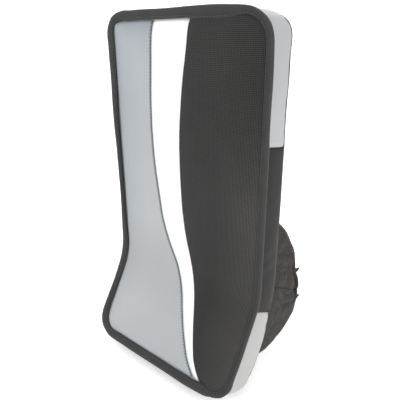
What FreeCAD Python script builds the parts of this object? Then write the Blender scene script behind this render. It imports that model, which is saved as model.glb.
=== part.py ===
import FreeCAD, Part
import os
import math

from FreeCAD import Vector, Placement, Rotation

# Ice-hockey goalie blocker for the right hand: a bent, padded rebound board with
# a glove fixed to its back.  Board frame while modelling: X across the board
# towards the thumb side, Y from the front face towards the palm, Z up the board
# towards the wrist.  Every piece is then shifted so that the row origin is the
# centre of the hand space.
os.makedirs("parts", exist_ok=True)
doc = FreeCAD.newDocument("blocker")

# ---------------------------------------------------------------- driving sizes
SIZES = [
    ("board_width", 203.0),      # across the face, binding included
    ("board_length", 381.0),     # along the face, round the bend
    ("board_depth", 32.0),       # front face to back cover
    ("bend_deg", 30.0),          # how far the lower part leans forward
    ("bend_radius", 70.0),       # at the front face
    ("bend_centre", 107.5),      # arc length from the bottom edge to the bend
    ("corner_radius", 30.0),
    ("binding_front", 10.0),     # width of the tape on the face
    ("binding_wall", 3.0),
    ("binding_proud", 1.2),
    ("binding_deep", 6.9),
    ("skin_thick", 1.2),
    ("foam_front", 1.25),
    ("foam_back", 6.9),
    ("plate_front", 7.0),
    ("plate_back", 9.0),
    ("core_front", 9.05),
    ("core_back", 29.4),
    ("cover_front", 29.45),
    ("cover_back", 31.5),
    ("gusset_front", 7.05),
    ("gusset_back", 31.9),
    ("gusset_wall", 2.0),
    ("piping_back", 34.0),
    ("piping_in", 7.0),
    ("piping_out", 2.6),
    ("hand_y", 61.0),            # the hand space's centre
    ("hand_z", 162.0),
    ("screw_radius", 1.95),
    ("screw_hole", 2.3),
    ("screw_x", 26.0),
    ("screw_low", 119.0),
    ("screw_high", 277.0),
    ("nut_radius", 3.0),
    ("nut_flange", 7.0),
    ("nut_bore", 2.0),
    ("base_left", -46.0),
    ("base_right", 50.0),
    ("base_low", 113.0),
    ("base_high", 286.0),
    ("base_thick", 2.0),
    ("pad_front", 33.75),
    ("pad_back", 45.0),
    ("shell_left", -50.0),
    ("shell_right", 54.0),
    ("shell_front", 45.2),
    ("shell_back", 80.0),
    ("shell_low", 116.0),
    ("shell_high", 206.0),
    ("shell_wall", 2.5),
    ("cuff_low", 207.0),
    ("cuff_high", 266.0),
    ("cuff_back", 82.0),
    ("cuff_front", 46.4),
    ("cuff_wall", 3.0),
    ("finger_width", 24.0),
    ("finger_pitch", 24.9),
    ("finger_front", 46.0),
    ("finger_back", 73.6),
    ("finger_top", 113.6),
    ("finger_wall", 2.2),
    ("index_x", 38.6),
    ("knuckle_y", 74.5),
    ("knuckle_z", 115.0),
    ("thumb_left", 55.4),
    ("thumb_right", 77.4),
    ("thumb_front", 53.0),
    ("thumb_back", 79.0),
    ("thumb_low", 64.0),
    ("thumb_high", 149.0),
    ("guard_in", 81.0),
    ("guard_out", 94.3),
    ("guard_skin", 1.4),
    ("guard_foam", 5.0),
    ("strap_wide", 36.0),
    ("strap_thick", 2.4),
    ("strap_z", 236.0),
    ("strap_pin_x", 57.0),
    ("strap_pin_y", 86.9),
    ("anchor_pin_x", 57.8),
    ("anchor_pin_y", 78.4),
    ("ring_wire", 1.5),
]
sheet = doc.addObject("Spreadsheet::Sheet", "Sizes")
for row, (alias, value) in enumerate(SIZES, start=1):
    sheet.set(f"A{row}", alias)
    sheet.set(f"B{row}", repr(value))
    sheet.setAlias(f"B{row}", alias)
doc.recompute()


def size(alias):
    """A driving size, read from the sheet."""
    return float(getattr(sheet, alias))


NODES = []  # (label, object)


def node(obj, label):
    """Marks a finished sub-part and shifts it into the row frame."""
    obj.Label = label
    NODES.append((label, obj))
    return obj


def plane(body, role):
    return next(f for f in body.Origin.OriginFeatures if f.Role == role)


def vertical_edges(shape, direction, minimum=0.0):
    """Names of straight edges parallel to a direction."""
    d = Vector(*direction)
    d.normalize()
    names = []
    for i, e in enumerate(shape.Edges, start=1):
        if not isinstance(e.Curve, Part.Line):
            continue
        a, b = e.Vertexes[0].Point, e.Vertexes[-1].Point
        v = b - a
        if v.Length < max(minimum, 1e-6):
            continue
        if abs(abs(v.dot(d)) / v.Length - 1) < 1e-6:
            names.append(f"Edge{i}")
    return names


PHI = math.radians(size("bend_deg"))
RAD = size("bend_radius")
S_LOW = size("bend_centre") - RAD * PHI / 2       # straight length under the bend
S_HIGH = size("bend_centre") + RAD * PHI / 2
Z_BEND = RAD * math.sin(PHI) + S_LOW * math.cos(PHI)  # height where the bend ends
Z_TOP = Z_BEND + size("board_length") - S_HIGH


def sheet_yz(t, s):
    """A point of the bent sheet: t behind the front face, s along it from the bottom."""
    if s >= S_HIGH:
        return (t, Z_BEND + s - S_HIGH)
    if s >= S_LOW:
        a = (S_HIGH - s) / RAD
        return (-RAD + (RAD + t) * math.cos(a), Z_BEND - (RAD + t) * math.sin(a))
    y = -RAD + (RAD + t) * math.cos(PHI) - (S_LOW - s) * math.sin(PHI)
    return (y, Z_BEND - (RAD + t) * math.sin(PHI) - (S_LOW - s) * math.cos(PHI))


def bent_layer(name, front, back, inset, holes=None):
    """A Body: one layer of the bent board.  front, back and inset are expressions."""

    def ev(text):
        return float(eval_expr(text))

    t0, t1, ins = ev(front), ev(back), ev(inset)
    front, back, inset = f"({front})", f"({back})", f"({inset})"
    body = doc.addObject("PartDesign::Body", name)
    sk = body.newObject("Sketcher::SketchObject", name + "_profile")
    sk.AttachmentSupport = [(plane(body, "YZ_Plane"), "")]
    sk.MapMode = "FlatFace"
    total = size("board_length")
    top = sheet_yz(0, total - ins)[1]

    def p(t, s):
        y, z = sheet_yz(t, s)
        return Vector(y, z, 0)

    a0, a1 = 2 * math.pi - PHI, 2 * math.pi
    c = Vector(-RAD, Z_BEND, 0)
    up = Vector(0, 0, 1)
    g = [
        Part.LineSegment(p(t0, total - ins), p(t0, S_HIGH)),                     # 0 front, upper
        Part.ArcOfCircle(Part.Circle(c, up, RAD + t0), a0, a1),                  # 1 front, bend
        Part.LineSegment(p(t0, S_LOW), p(t0, ins)),                              # 2 front, lower
        Part.LineSegment(p(t0, ins), p(t1, ins)),                                # 3 bottom
        Part.LineSegment(p(t1, ins), p(t1, S_LOW)),                              # 4 back, lower
        Part.ArcOfCircle(Part.Circle(c, up, RAD + t1), a0, a1),                  # 5 back, bend
        Part.LineSegment(p(t1, S_HIGH), p(t1, total - ins)),                     # 6 back, upper
        Part.LineSegment(p(t1, total - ins), p(t0, total - ins)),                # 7 top
    ]
    for x in g:
        sk.addGeometry(x, False)
    import Sketcher

    C = Sketcher.Constraint
    # arcs run anticlockwise: start at the lower end, end at the upper end
    sk.addConstraint(
        [
            C("Tangent", 0, 2, 1, 2),
            C("Tangent", 1, 1, 2, 1),
            C("Coincident", 2, 2, 3, 1),
            C("Coincident", 3, 2, 4, 1),
            C("Tangent", 4, 2, 5, 1),
            C("Tangent", 5, 2, 6, 1),
            C("Coincident", 6, 2, 7, 1),
            C("Coincident", 7, 2, 0, 1),
            C("Vertical", 0),
            C("Horizontal", 7),
            C("Perpendicular", 2, 3),
            C("Coincident", 1, 3, 5, 3),
        ]
    )

    def dim(kind, args, value, expr):
        i = sk.addConstraint(C(kind, *args, value))
        sk.setExpression(f"Constraints[{i}]", expr)

    s = "Sizes."
    dim("Radius", (1,), RAD + t0, f"({s}bend_radius + {front}) * 1 mm")
    dim("Radius", (5,), RAD + t1, f"({s}bend_radius + {back}) * 1 mm")
    dim("DistanceX", (-1, 1, 1, 3), -RAD, f"-{s}bend_radius * 1 mm")
    low = f"({s}bend_centre - {s}bend_radius * {s}bend_deg * pi / 360)"
    bend_z = f"({s}bend_radius * sin({s}bend_deg * 1 deg) + {low} * cos({s}bend_deg * 1 deg))"
    dim("DistanceY", (-1, 1, 1, 3), Z_BEND, f"{bend_z} * 1 mm")
    high = f"({s}bend_centre + {s}bend_radius * {s}bend_deg * pi / 360)"
    dim("Distance", (0,), total - ins - S_HIGH, f"({s}board_length - {inset} - {high}) * 1 mm")
    dim("Distance", (2,), S_LOW - ins, f"({low} - {inset}) * 1 mm")
    dim("Angle", (1,), PHI, f"{s}bend_deg * 1 deg")
    pad = body.newObject("PartDesign::Pad", name + "_pad")
    pad.Profile = sk
    pad.Midplane = True
    pad.setExpression("Length", f"({s}board_width - 2 * {inset}) * 1 mm")
    body.Tip = pad
    doc.recompute()
    half = size("board_width") / 2 - ins
    names = []
    for i, e in enumerate(pad.Shape.Edges, start=1):
        if not isinstance(e.Curve, Part.Line):
            continue
        a, b = e.Vertexes[0].Point, e.Vertexes[-1].Point
        if abs(a.x - b.x) > 1e-6 or abs(abs(a.x) - half) > 1e-4:
            continue
        if abs((b - a).Length - (t1 - t0)) > 1e-3:
            continue
        mid = (a + b) * 0.5
        ends = [sheet_yz((t0 + t1) / 2, ins), sheet_yz((t0 + t1) / 2, total - ins)]
        if min(math.hypot(mid.y - q[0], mid.z - q[1]) for q in ends) < 1e-3:
            names.append(f"Edge{i}")
    if len(names) != 4:
        raise RuntimeError(f"{name}: {len(names)} corner edges")
    fil = body.newObject("PartDesign::Fillet", name + "_corners")
    fil.Base = (pad, names)
    fil.setExpression("Radius", f"({s}corner_radius - {inset}) * 1 mm")
    body.Tip = fil
    doc.recompute()
    if holes:
        before = fil.Shape.Volume
        hs = body.newObject("Sketcher::SketchObject", name + "_hole_centres")
        hs.AttachmentSupport = [(plane(body, "XZ_Plane"), "")]
        hs.MapMode = "FlatFace"
        for sx in (-1, 1):
            for zz in ("screw_low", "screw_high"):
                k = hs.addGeometry(
                    Part.Circle(Vector(sx * size("screw_x"), size(zz), 0), Vector(0, 0, 1), size(holes)), False
                )
                i = hs.addConstraint(C("Radius", k, size(holes)))
                hs.setExpression(f"Constraints[{i}]", f"Sizes.{holes} * 1 mm")
                i = hs.addConstraint(C("DistanceX", -1, 1, k, 3, sx * size("screw_x")))
                hs.setExpression(f"Constraints[{i}]", f"{sx} * Sizes.screw_x * 1 mm")
                i = hs.addConstraint(C("DistanceY", -1, 1, k, 3, size(zz)))
                hs.setExpression(f"Constraints[{i}]", f"Sizes.{zz} * 1 mm")
        poc = body.newObject("PartDesign::Pocket", name + "_holes")
        poc.Profile = hs
        poc.Midplane = True
        poc.Length = 200
        body.Tip = poc
        doc.recompute()
        want = 4 * math.pi * size(holes) ** 2 * (t1 - t0)
        if abs(before - poc.Shape.Volume - want) > 0.02 * want:
            raise RuntimeError(f"{name}: the holes took {before - poc.Shape.Volume:.1f}, not {want:.1f}")
    return body


def eval_expr(text):
    """The value of a sum or difference of sheet aliases and numbers, such as 'Sizes.a - 2'."""
    total, sign = 0.0, 1.0
    for word in text.replace("+", " + ").replace("- ", " - ").split():
        if word in "+-":
            sign = 1.0 if word == "+" else -1.0
            continue
        value = size(word[6:]) if word.startswith("Sizes.") else float(word)
        total += sign * value
        sign = 1.0
    return total


def boolean(kind, name, base, tool):
    o = doc.addObject(kind, name)
    o.Base = base
    o.Tool = tool
    return o


def box(name, lo, hi, exprs=None):
    """A Part::Box between two corners; exprs binds its properties to the sheet."""
    b = doc.addObject("Part::Box", name)
    b.Length, b.Width, b.Height = (hi[i] - lo[i] for i in range(3))
    b.Placement = Placement(Vector(*lo), Rotation())
    for prop, expr in (exprs or {}).items():
        b.setExpression(prop, expr)
    return b


def block(name, x, y, z, radius=0.0, tips=0.0, wall=None, open_faces=(), taper=0.0, top=None):
    """A Body: a rectangular pad between sheet sizes, with its upright edges rounded, its
    low end rounded by tips, and hollowed to a wall with the named ends open.  x, y and z
    are pairs of expressions.  top gives another pair of x and y for a lofted upper end."""
    body = doc.addObject("PartDesign::Body", name)
    import Sketcher

    C = Sketcher.Constraint

    def rectangle(tag, xs, ys, z_expr):
        sk = body.newObject("Sketcher::SketchObject", f"{name}_{tag}")
        sk.AttachmentSupport = [(plane(body, "XY_Plane"), "")]
        sk.MapMode = "FlatFace"
        sk.setExpression("AttachmentOffset.Base.z", f"({z_expr}) * 1 mm")
        x0, x1, y0, y1 = (eval_expr(e) for e in (*xs, *ys))
        pts = [Vector(x0, y0, 0), Vector(x1, y0, 0), Vector(x1, y1, 0), Vector(x0, y1, 0)]
        for i in range(4):
            sk.addGeometry(Part.LineSegment(pts[i], pts[(i + 1) % 4]), False)
        sk.addConstraint([C("Coincident", i, 2, (i + 1) % 4, 1) for i in range(4)])
        sk.addConstraint([C("Horizontal", 0), C("Vertical", 1), C("Horizontal", 2), C("Vertical", 3)])
        for kind, g, v, e in (
            ("DistanceX", 0, x0, xs[0]),
            ("DistanceX", 2, x1, xs[1]),
            ("DistanceY", 0, y0, ys[0]),
            ("DistanceY", 2, y1, ys[1]),
        ):
            i = sk.addConstraint(C(kind, -1, 1, g, 1, v))
            sk.setExpression(f"Constraints[{i}]", f"({e}) * 1 mm")
        return sk

    low = rectangle("low", x, y, z[0])
    z0, z1 = eval_expr(z[0]), eval_expr(z[1])
    if top is None:
        pad = body.newObject("PartDesign::Pad", name + "_pad")
        pad.Profile = low
        pad.setExpression("Length", f"({z[1]} - ({z[0]})) * 1 mm")
        if taper:
            pad.TaperAngle = taper
    else:
        high = rectangle("high", top[0], top[1], z[1])
        pad = body.newObject("PartDesign::AdditiveLoft", name + "_loft")
        pad.Profile = low
        pad.Sections = [high]
        pad.Ruled = True
    body.Tip = pad
    doc.recompute()
    if radius:
        up = [
            f"Edge{i}"
            for i, e in enumerate(pad.Shape.Edges, start=1)
            if abs(e.Vertexes[0].Point.z - e.Vertexes[-1].Point.z) > 0.9 * (z1 - z0)
        ]
        fil = body.newObject("PartDesign::Fillet", name + "_sides")
        fil.Base = (pad, up)
        fil.Radius = radius
        body.Tip = fil
        doc.recompute()
    if tips:
        base = body.Tip
        rim = [
            f"Edge{i}"
            for i, e in enumerate(base.Shape.Edges, start=1)
            if all(abs(v.Point.z - z0) < 1e-6 for v in e.Vertexes)
        ]
        fil = body.newObject("PartDesign::Fillet", name + "_tip")
        fil.Base = (base, rim)
        fil.Radius = tips
        body.Tip = fil
        doc.recompute()
    if wall:
        base = body.Tip
        faces = []
        for i, f in enumerate(base.Shape.Faces, start=1):
            zs = [v.Point.z for v in f.Vertexes]
            if "high" in open_faces and min(zs) > z1 - 1e-6:
                faces.append(f"Face{i}")
            if "low" in open_faces and max(zs) < z0 + 1e-6:
                faces.append(f"Face{i}")
        before = base.Shape.Volume
        th = body.newObject("PartDesign::Thickness", name + "_wall")
        th.Base = (base, faces)
        th.setExpression("Value", f"{wall} * 1 mm")
        th.Reversed = True
        th.Join = 0
        body.Tip = th
        doc.recompute()
        if th.Shape.Volume >= 0.8 * before:
            raise RuntimeError(f"{name}: the hollow was not made")
    return body


def turned(name, points, at, direction):
    """A Body: a closed outline (radius, length along the axis) turned about its axis."""
    body = doc.addObject("PartDesign::Body", name)
    sk = body.newObject("Sketcher::SketchObject", name + "_outline")
    sk.AttachmentSupport = [(plane(body, "XZ_Plane"), "")]
    sk.MapMode = "FlatFace"
    import Sketcher

    n = len(points)
    for i in range(n):
        a, b = points[i], points[(i + 1) % n]
        sk.addGeometry(Part.LineSegment(Vector(a[0], a[1], 0), Vector(b[0], b[1], 0)), False)
    sk.addConstraint([Sketcher.Constraint("Coincident", i, 2, (i + 1) % n, 1) for i in range(n)])
    rev = body.newObject("PartDesign::Revolution", name + "_turn")
    rev.Profile = sk
    rev.ReferenceAxis = (sk, ["V_Axis"])
    rev.Angle = 360
    body.Tip = rev
    body.Placement = Placement(Vector(*at), Rotation(Vector(0, 0, 1), Vector(*direction)))
    return body


def group(label, objs):
    """Identical fasteners in one node, as separate solids."""
    c = doc.addObject("Part::Compound", label)
    c.Links = objs
    return c


def solid(name, shape):
    """A Part::Feature with a shape worked out from the sheet's sizes."""
    o = doc.addObject("Part::Feature", name)
    o.Shape = shape
    return o


# ---------------------------------------------------------------- board layers
HOLE = "screw_hole"
foam_solid = bent_layer("face_foam_blank", "Sizes.foam_front", "Sizes.foam_back", "Sizes.binding_wall + 0.1")
plate = bent_layer("stiffener", "Sizes.plate_front", "Sizes.plate_back", "Sizes.binding_wall + 2.1", "nut_radius")
node(plate, "stiffener_plate")
core = bent_layer("core", "Sizes.core_front", "Sizes.core_back", "Sizes.binding_wall + 2.1", "nut_radius")
node(core, "board_core")
cover = bent_layer("cover", "Sizes.cover_front", "Sizes.cover_back", "Sizes.binding_wall + 2.1", HOLE)
node(cover, "back_cover")

# the face foam has a shallow recess over each nut's flange
recesses = []
for sx in (-1, 1):
    for zz in ("screw_low", "screw_high"):
        cyl = doc.addObject("Part::Cylinder", f"recess_{'l' if sx < 0 else 'r'}_{zz}")
        cyl.setExpression("Radius", "(Sizes.nut_flange + 0.2) * 1 mm")
        cyl.Height = 3
        cyl.Placement = Placement(
            Vector(sx * size("screw_x"), size("plate_front") - 1.35, size(zz)), Rotation(Vector(1, 0, 0), -90)
        )
        recesses.append(cyl)
recess = doc.addObject("Part::MultiFuse", "recesses")
recess.Shapes = recesses
face_foam = boolean("Part::Cut", "face_foam_cut", foam_solid, recess)
node(face_foam, "face_foam")

# ---------------------------------------------------------------- face panels
skin = bent_layer("skin", "0", "Sizes.skin_thick", "Sizes.binding_wall + 0.1")
# the two seams, as x against z on the upright board
SEAM_LEFT = [(-33.5, 378), (-34.6, 358), (-38.4, 324), (-41.2, 292), (-41.2, 262), (-39.2, 228),
             (-35.6, 192), (-30.3, 158), (-24.2, 134), (-13.5, 112), (-1.5, 91), (10.5, 67),
             (22, 45), (36, 26.5), (54, 8.5), (70, -6)]
SEAM_RIGHT = [(17.5, 378), (13.4, 358), (7.4, 332), (2.2, 300), (-1.0, 273), (-2.6, 246),
              (-2.7, 226), (-1.1, 196), (2.0, 162), (6.6, 132), (12.4, 109), (19.6, 87),
              (28.6, 65), (37.6, 44), (49.0, 22.8), (62.6, 8.6), (76, -5)]


def seam_prism(name, seam_a, seam_b):
    """A prism along Y between two seams; None is far outside the board."""
    def wire_points(seam, far):
        if seam is None:
            return [Vector(far, -80, 378), Vector(far, -80, -20)]
        return [Vector(x, -80, z) for x, z in seam]

    def edge(points):
        if len(points) == 2:
            return Part.LineSegment(points[0], points[1]).toShape()
        c = Part.BSplineCurve()
        c.interpolate(points)
        return c.toShape()

    pa, pb = wire_points(seam_a, -140), wire_points(seam_b, 140)
    ea, eb = edge(pa), edge(pb)
    top = Part.LineSegment(pa[0], pb[0]).toShape()
    low = Part.LineSegment(pa[-1], pb[-1]).toShape()
    face = Part.Face(Part.Wire(Part.__sortEdges__([ea, low, eb, top])))
    return solid(name, face.extrude(Vector(0, 140, 0)))


cut_grey = seam_prism("grey_region", None, SEAM_LEFT)
cut_white = seam_prism("white_region", SEAM_LEFT, SEAM_RIGHT)
cut_black = seam_prism("black_region", SEAM_RIGHT, None)
for label, region in (("face_panel_grey", cut_grey), ("face_panel_white", cut_white), ("face_panel_black", cut_black)):
    node(boolean("Part::Common", label + "_cut", skin, region), label)

# ---------------------------------------------------------------- edge binding
bind_out = bent_layer("binding_blank", "0 - Sizes.binding_proud", "Sizes.binding_deep", "0")
bind_in = bent_layer("binding_inner", "0", "Sizes.binding_deep + 20", "Sizes.binding_wall")
bind_win = bent_layer("binding_window", "0 - 10", "5", "Sizes.binding_front")
binding = boolean("Part::Cut", "binding_b", boolean("Part::Cut", "binding_a", bind_out, bind_in), bind_win)
node(binding, "edge_binding")

# ---------------------------------------------------------------- side gusset
gus_out = bent_layer("gusset_blank", "Sizes.gusset_front", "Sizes.gusset_back", "Sizes.binding_wall")
gus_in = bent_layer("gusset_inner", "Sizes.gusset_front - 5", "Sizes.gusset_back + 5", "Sizes.binding_wall + Sizes.gusset_wall")
gusset = boolean("Part::Cut", "gusset_ring", gus_out, gus_in)
# the upper seam falls 4.6 mm from front to back, the lower one follows the bend
high_box = box("above_upper_seam", (-200, -150, 0), (200, 150, 400))
high_box.Placement = Placement(Vector(-200, 0, 253), Rotation(Vector(1, 0, 0), -9.1)).multiply(
    Placement(Vector(0, -150, 0), Rotation())
)
low_box = box("below_lower_seam", (-200, -150, -400), (200, 150, 0))
low_box.Placement = Placement(Vector(-200, -4.9, 86.9), Rotation(Vector(1, 0, 0), -26.6)).multiply(
    Placement(Vector(0, -150, -400), Rotation())
)
ends = doc.addObject("Part::MultiFuse", "gusset_ends")
ends.Shapes = [high_box, low_box]
sides = boolean("Part::Cut", "gusset_sides", gusset, ends)
node(boolean("Part::Common", "gusset_top_cut", gusset, high_box), "gusset_top")
node(boolean("Part::Common", "gusset_bottom_cut", gusset, low_box), "gusset_bottom")
thumb_half = box("thumb_half", (0, -200, -100), (200, 200, 500))
outer_half = box("outer_half", (-200, -200, -100), (0, 200, 500))
node(boolean("Part::Common", "gusset_thumb_cut", sides, thumb_half), "gusset_side_thumb")
node(boolean("Part::Common", "gusset_outer_cut", sides, outer_half), "gusset_side_outer")

pip_out = bent_layer("piping_blank", "Sizes.gusset_back + 0.05", "Sizes.piping_back", "Sizes.piping_out")
pip_in = bent_layer("piping_inner", "Sizes.gusset_back - 5", "Sizes.piping_back + 5", "Sizes.piping_in")
node(boolean("Part::Cut", "piping_ring", pip_out, pip_in), "rear_piping")

# ---------------------------------------------------------------- glove fixing
base = block(
    "base_plate",
    ("Sizes.base_left", "Sizes.base_right"),
    ("Sizes.cover_back + 0.1", "Sizes.cover_back + 2.1"),
    ("Sizes.base_low", "Sizes.base_high"),
)
base_holes = []
for sx in (-1, 1):
    for zz in ("screw_low", "screw_high"):
        cyl = doc.addObject("Part::Cylinder", f"plate_hole_{'l' if sx < 0 else 'r'}_{zz}")
        cyl.setExpression("Radius", "Sizes.screw_hole * 1 mm")
        cyl.Height = 10
        cyl.Placement = Placement(Vector(sx * size("screw_x"), 28, size(zz)), Rotation(Vector(1, 0, 0), -90))
        base_holes.append(cyl)
base_tool = doc.addObject("Part::MultiFuse", "plate_holes")
base_tool.Shapes = base_holes
node(boolean("Part::Cut", "base_plate_cut", base, base_tool), "glove_base_plate")

seat = size("cover_back") + 2.1          # the base plate's outer face
sr = size("screw_radius")
screws, washers, nuts = [], [], []
for sx in (-1, 1):
    for zz in ("screw_low", "screw_high"):
        tag = f"{'l' if sx < 0 else 'r'}_{zz}"
        at = (sx * size("screw_x"), seat, size(zz))
        # pan head with a cross recess turned as a shallow cone
        screws.append(
            turned(
                "screw_" + tag,
                [(0, 1.9), (1.3, 2.9), (2.9, 2.6), (3.7, 1.7), (3.7, 0.9), (sr, 0.9), (sr, -21.0), (0, -21.6)],
                at,
                (0, 1, 0),
            )
        )
        washers.append(turned("washer_" + tag, [(2.15, 0.05), (4.8, 0.05), (4.8, 0.85), (2.15, 0.85)], at, (0, 1, 0)))
        f0 = size("plate_front")
        nb, nr, nf = size("nut_bore"), size("nut_radius"), size("nut_flange")
        # barrel nut: flange in front of the stiffener, barrel through it
        nuts.append(
            turned(
                "nut_" + tag,
                [(nb, -1.25), (nf, -1.25), (nf, -0.05), (nr - 0.05, -0.05), (nr - 0.05, 12.0), (nb, 12.0)],
                (sx * size("screw_x"), f0, size(zz)),
                (0, 1, 0),
            )
        )
node(group("screw_group", screws), "mounting_screws")
node(group("washer_group", washers), "screw_washers")
node(group("nut_group", nuts), "barrel_nuts")

# ---------------------------------------------------------------- hand and cuff pads
node(
    block("backhand", ("-49", "52"), ("Sizes.pad_front", "Sizes.pad_back"), ("127", "205"), radius=4),
    "backhand_pad",
)
node(
    block("cuff_pad", ("-49", "52"), ("Sizes.pad_front", "Sizes.cuff_front - 0.2"), ("207.5", "265"), radius=4),
    "cuff_front_pad",
)
node(
    block("outer_pad", ("-64", "-51.5"), ("Sizes.cover_back + 0.2", "79"), ("113", "206"), radius=5),
    "outer_side_pad",
)

shell = block(
    "glove_tube",
    ("Sizes.shell_left", "Sizes.shell_right"),
    ("Sizes.shell_front", "Sizes.shell_back"),
    ("Sizes.shell_low", "Sizes.shell_high"),
    radius=13,
    wall="Sizes.shell_wall",
    open_faces=("high", "low"),
)
thumb_way = box("thumb_way", (45, 59, 119), (60, 78, 146))
node(boolean("Part::Cut", "glove_tube_cut", shell, thumb_way), "glove_shell")
node(
    block("palm", ("-38", "42"), ("Sizes.shell_back + 0.05", "Sizes.shell_back + 1.5"), ("119", "200")),
    "palm_patch",
)

cuff = block(
    "cuff_tube",
    ("-50", "53"),
    ("Sizes.cuff_front", "Sizes.cuff_back"),
    ("Sizes.cuff_low", "Sizes.cuff_high"),
    radius=13,
    wall="Sizes.cuff_wall",
    open_faces=("high", "low"),
)

# ---------------------------------------------------------------- fingers
FINGERS = [("index", 0, 84.0), ("middle", 1, 90.0), ("ring", 2, 84.0), ("little", 3, 72.0)]
for name, k, length in FINGERS:
    cx = f"Sizes.index_x - {k} * Sizes.finger_pitch"
    mid = size("index_x") - k * size("finger_pitch")
    half = size("finger_width") / 2
    # the stall stands mouth up; the tip is the low end
    b = block(
        name + "_tube",
        (f"{mid - half}", f"{mid + half}"),
        ("Sizes.finger_front", "Sizes.finger_back"),
        (f"Sizes.finger_top - {length}", "Sizes.finger_top"),
        radius=8,
        tips=7,
        wall="Sizes.finger_wall",
        open_faces=("high",),
    )
    node(b, f"{name}_finger_stall")
    strip = block(
        name + "_strip",
        (f"{mid - 7.5}", f"{mid + 7.5}"),
        ("Sizes.finger_back + 0.05", "Sizes.finger_back + 1.25"),
        (f"Sizes.finger_top - {length - 9}", "Sizes.finger_top - 3"),
    )
    node(strip, f"{name}_finger_facing")

# thumb: closed all round, entered through a window on its hand side
t_out = block(
    "thumb_blank",
    ("Sizes.thumb_left", "Sizes.thumb_right"),
    ("Sizes.thumb_front", "Sizes.thumb_back"),
    ("Sizes.thumb_low", "Sizes.thumb_high"),
    radius=9,
    tips=8,
)
t_in = block(
    "thumb_core",
    ("Sizes.thumb_left + 2.2", "Sizes.thumb_right - 2.2"),
    ("Sizes.thumb_front + 2.2", "Sizes.thumb_back - 2.2"),
    ("Sizes.thumb_low + 2.2", "Sizes.thumb_high - 2.2"),
    radius=6.8,
    tips=5.8,
)
t_win = box("thumb_window", (50, 59, 119), (60, 75, 143))
thumb = boolean("Part::Cut", "thumb_b", boolean("Part::Cut", "thumb_a", t_out, t_in), t_win)
node(thumb, "thumb_stall")
node(
    block("thumb_strip", ("59.4", "73.4"), ("Sizes.thumb_back + 0.05", "Sizes.thumb_back + 1.25"), ("75", "140")),
    "thumb_facing",
)

# ---------------------------------------------------------------- side guard
# free edge of the guard as (y, z), from the top of the board side round to its bottom
FREE = [(33.0, 177.0), (42.0, 170.8), (49.5, 164.6), (57.5, 158.0), (64.5, 150.8), (71.0, 142.4), (77.0, 133.4),
        (82.5, 123.6), (87.2, 112.6), (91.5, 101.4), (95.6, 90.2), (99.6, 78.8), (102.4, 67.6), (102.8, 57.6),
        (101.0, 48.0), (97.8, 39.0), (93.0, 30.8), (86.0, 23.8), (76.0, 18.4), (64.0, 15.6), (51.0, 14.6), (38.0, 15.2),
        (22.0, 16.8), (6.0, 18.4), (-9.0, 19.5)]


def inset_points(points, d):
    """The same edge, moved inwards by d."""
    out = []
    n = len(points)
    for i in range(n):
        a, b = points[max(i - 1, 0)], points[min(i + 1, n - 1)]
        ty, tz = b[0] - a[0], b[1] - a[1]
        ln = math.hypot(ty, tz)
        out.append((points[i][0] + d * tz / ln, points[i][1] - d * ty / ln))
    return out


BACK = size("cover_back") + 0.25


def guard_blank(d, x0, x1, radius, deep=0.0):
    """The guard's outline inset by d, from x0 to x1, with its outer rim rounded."""
    pts = [Vector(x0, y, z) for y, z in inset_points(FREE, d)]
    pts[0] = Vector(x0, BACK - deep, pts[0].z)
    low_y, low_z = pts[-1].y, pts[-1].z
    # board side: up the back surface of the board
    t = BACK - deep
    c = Part.BSplineCurve()
    q = sheet_yz(t, S_LOW)
    # the last point of the free edge is put on the board's back surface
    k = (q[1] - low_z) / math.cos(PHI)
    end = Vector(x0, q[0] - k * math.sin(PHI), low_z)
    while len(pts) > 3 and pts[-2].y <= end.y + 4:
        del pts[-2]
    pts[-1] = end
    c.interpolate(pts)
    free = c.toShape()
    a = Part.LineSegment(end, Vector(x0, *q)).toShape()
    qa, qm, qb = sheet_yz(t, S_LOW), sheet_yz(t, (S_LOW + S_HIGH) / 2), sheet_yz(t, S_HIGH)
    arc = Part.Arc(Vector(x0, *qa), Vector(x0, *qm), Vector(x0, *qb)).toShape()
    b = Part.LineSegment(Vector(x0, *qb), pts[0]).toShape()
    wire = Part.Wire(Part.__sortEdges__([free, a, arc, b]))
    s = Part.Face(wire).extrude(Vector(x1 - x0, 0, 0))
    if radius:
        rim = [
            e for e in s.Edges
            if abs(e.BoundBox.XMin - x1) < 1e-6 and abs(e.BoundBox.XMax - x1) < 1e-6 and not isinstance(e.Curve, (Part.Line, Part.Circle))
        ]
        s = s.makeFillet(radius, rim)
    return s


gx0, gx1 = size("guard_in"), size("guard_out")
gs, gf = size("guard_skin"), size("guard_foam")
S0 = guard_blank(0, gx0, gx1, 9.0)
S1 = guard_blank(gs, gx0 - 5, gx1 - gs, 7.6, 12)
S1b = guard_blank(gs + 0.05, gx0 - 5, gx1 - gs - 0.05, 7.55, 12).common(S0)
S2 = guard_blank(gs + gf, gx0 - 5, gx1 - gs - gf, 0, 12)
skin_shape = S0.cut(S1)
split = Part.makeBox(60, 300, 200, Vector(60, -100, 66 - 200))
mesh_shape = skin_shape.common(split)
upper_shape = skin_shape.cut(Part.makeBox(60, 300, 200, Vector(60, -100, 66.05 - 200)))
foam_shape = S1b.cut(S2)


def only_solid(shape):
    parts = sorted(shape.Solids, key=lambda q: -q.Volume)
    return parts[0]


node(solid("guard_upper", only_solid(upper_shape)), "side_guard_skin")
node(solid("guard_mesh", only_solid(mesh_shape)), "side_guard_mesh")
node(solid("guard_pad", only_solid(foam_shape)), "side_guard_foam")
rim_out = guard_blank(-0.4, gx0 - 1.6, gx0 - 0.05, 0)
rim_in = guard_blank(gs + gf, gx0 - 5, gx0 + 5, 0, 12)
node(solid("guard_rim", only_solid(rim_out.cut(rim_in))), "side_guard_binding")


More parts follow.
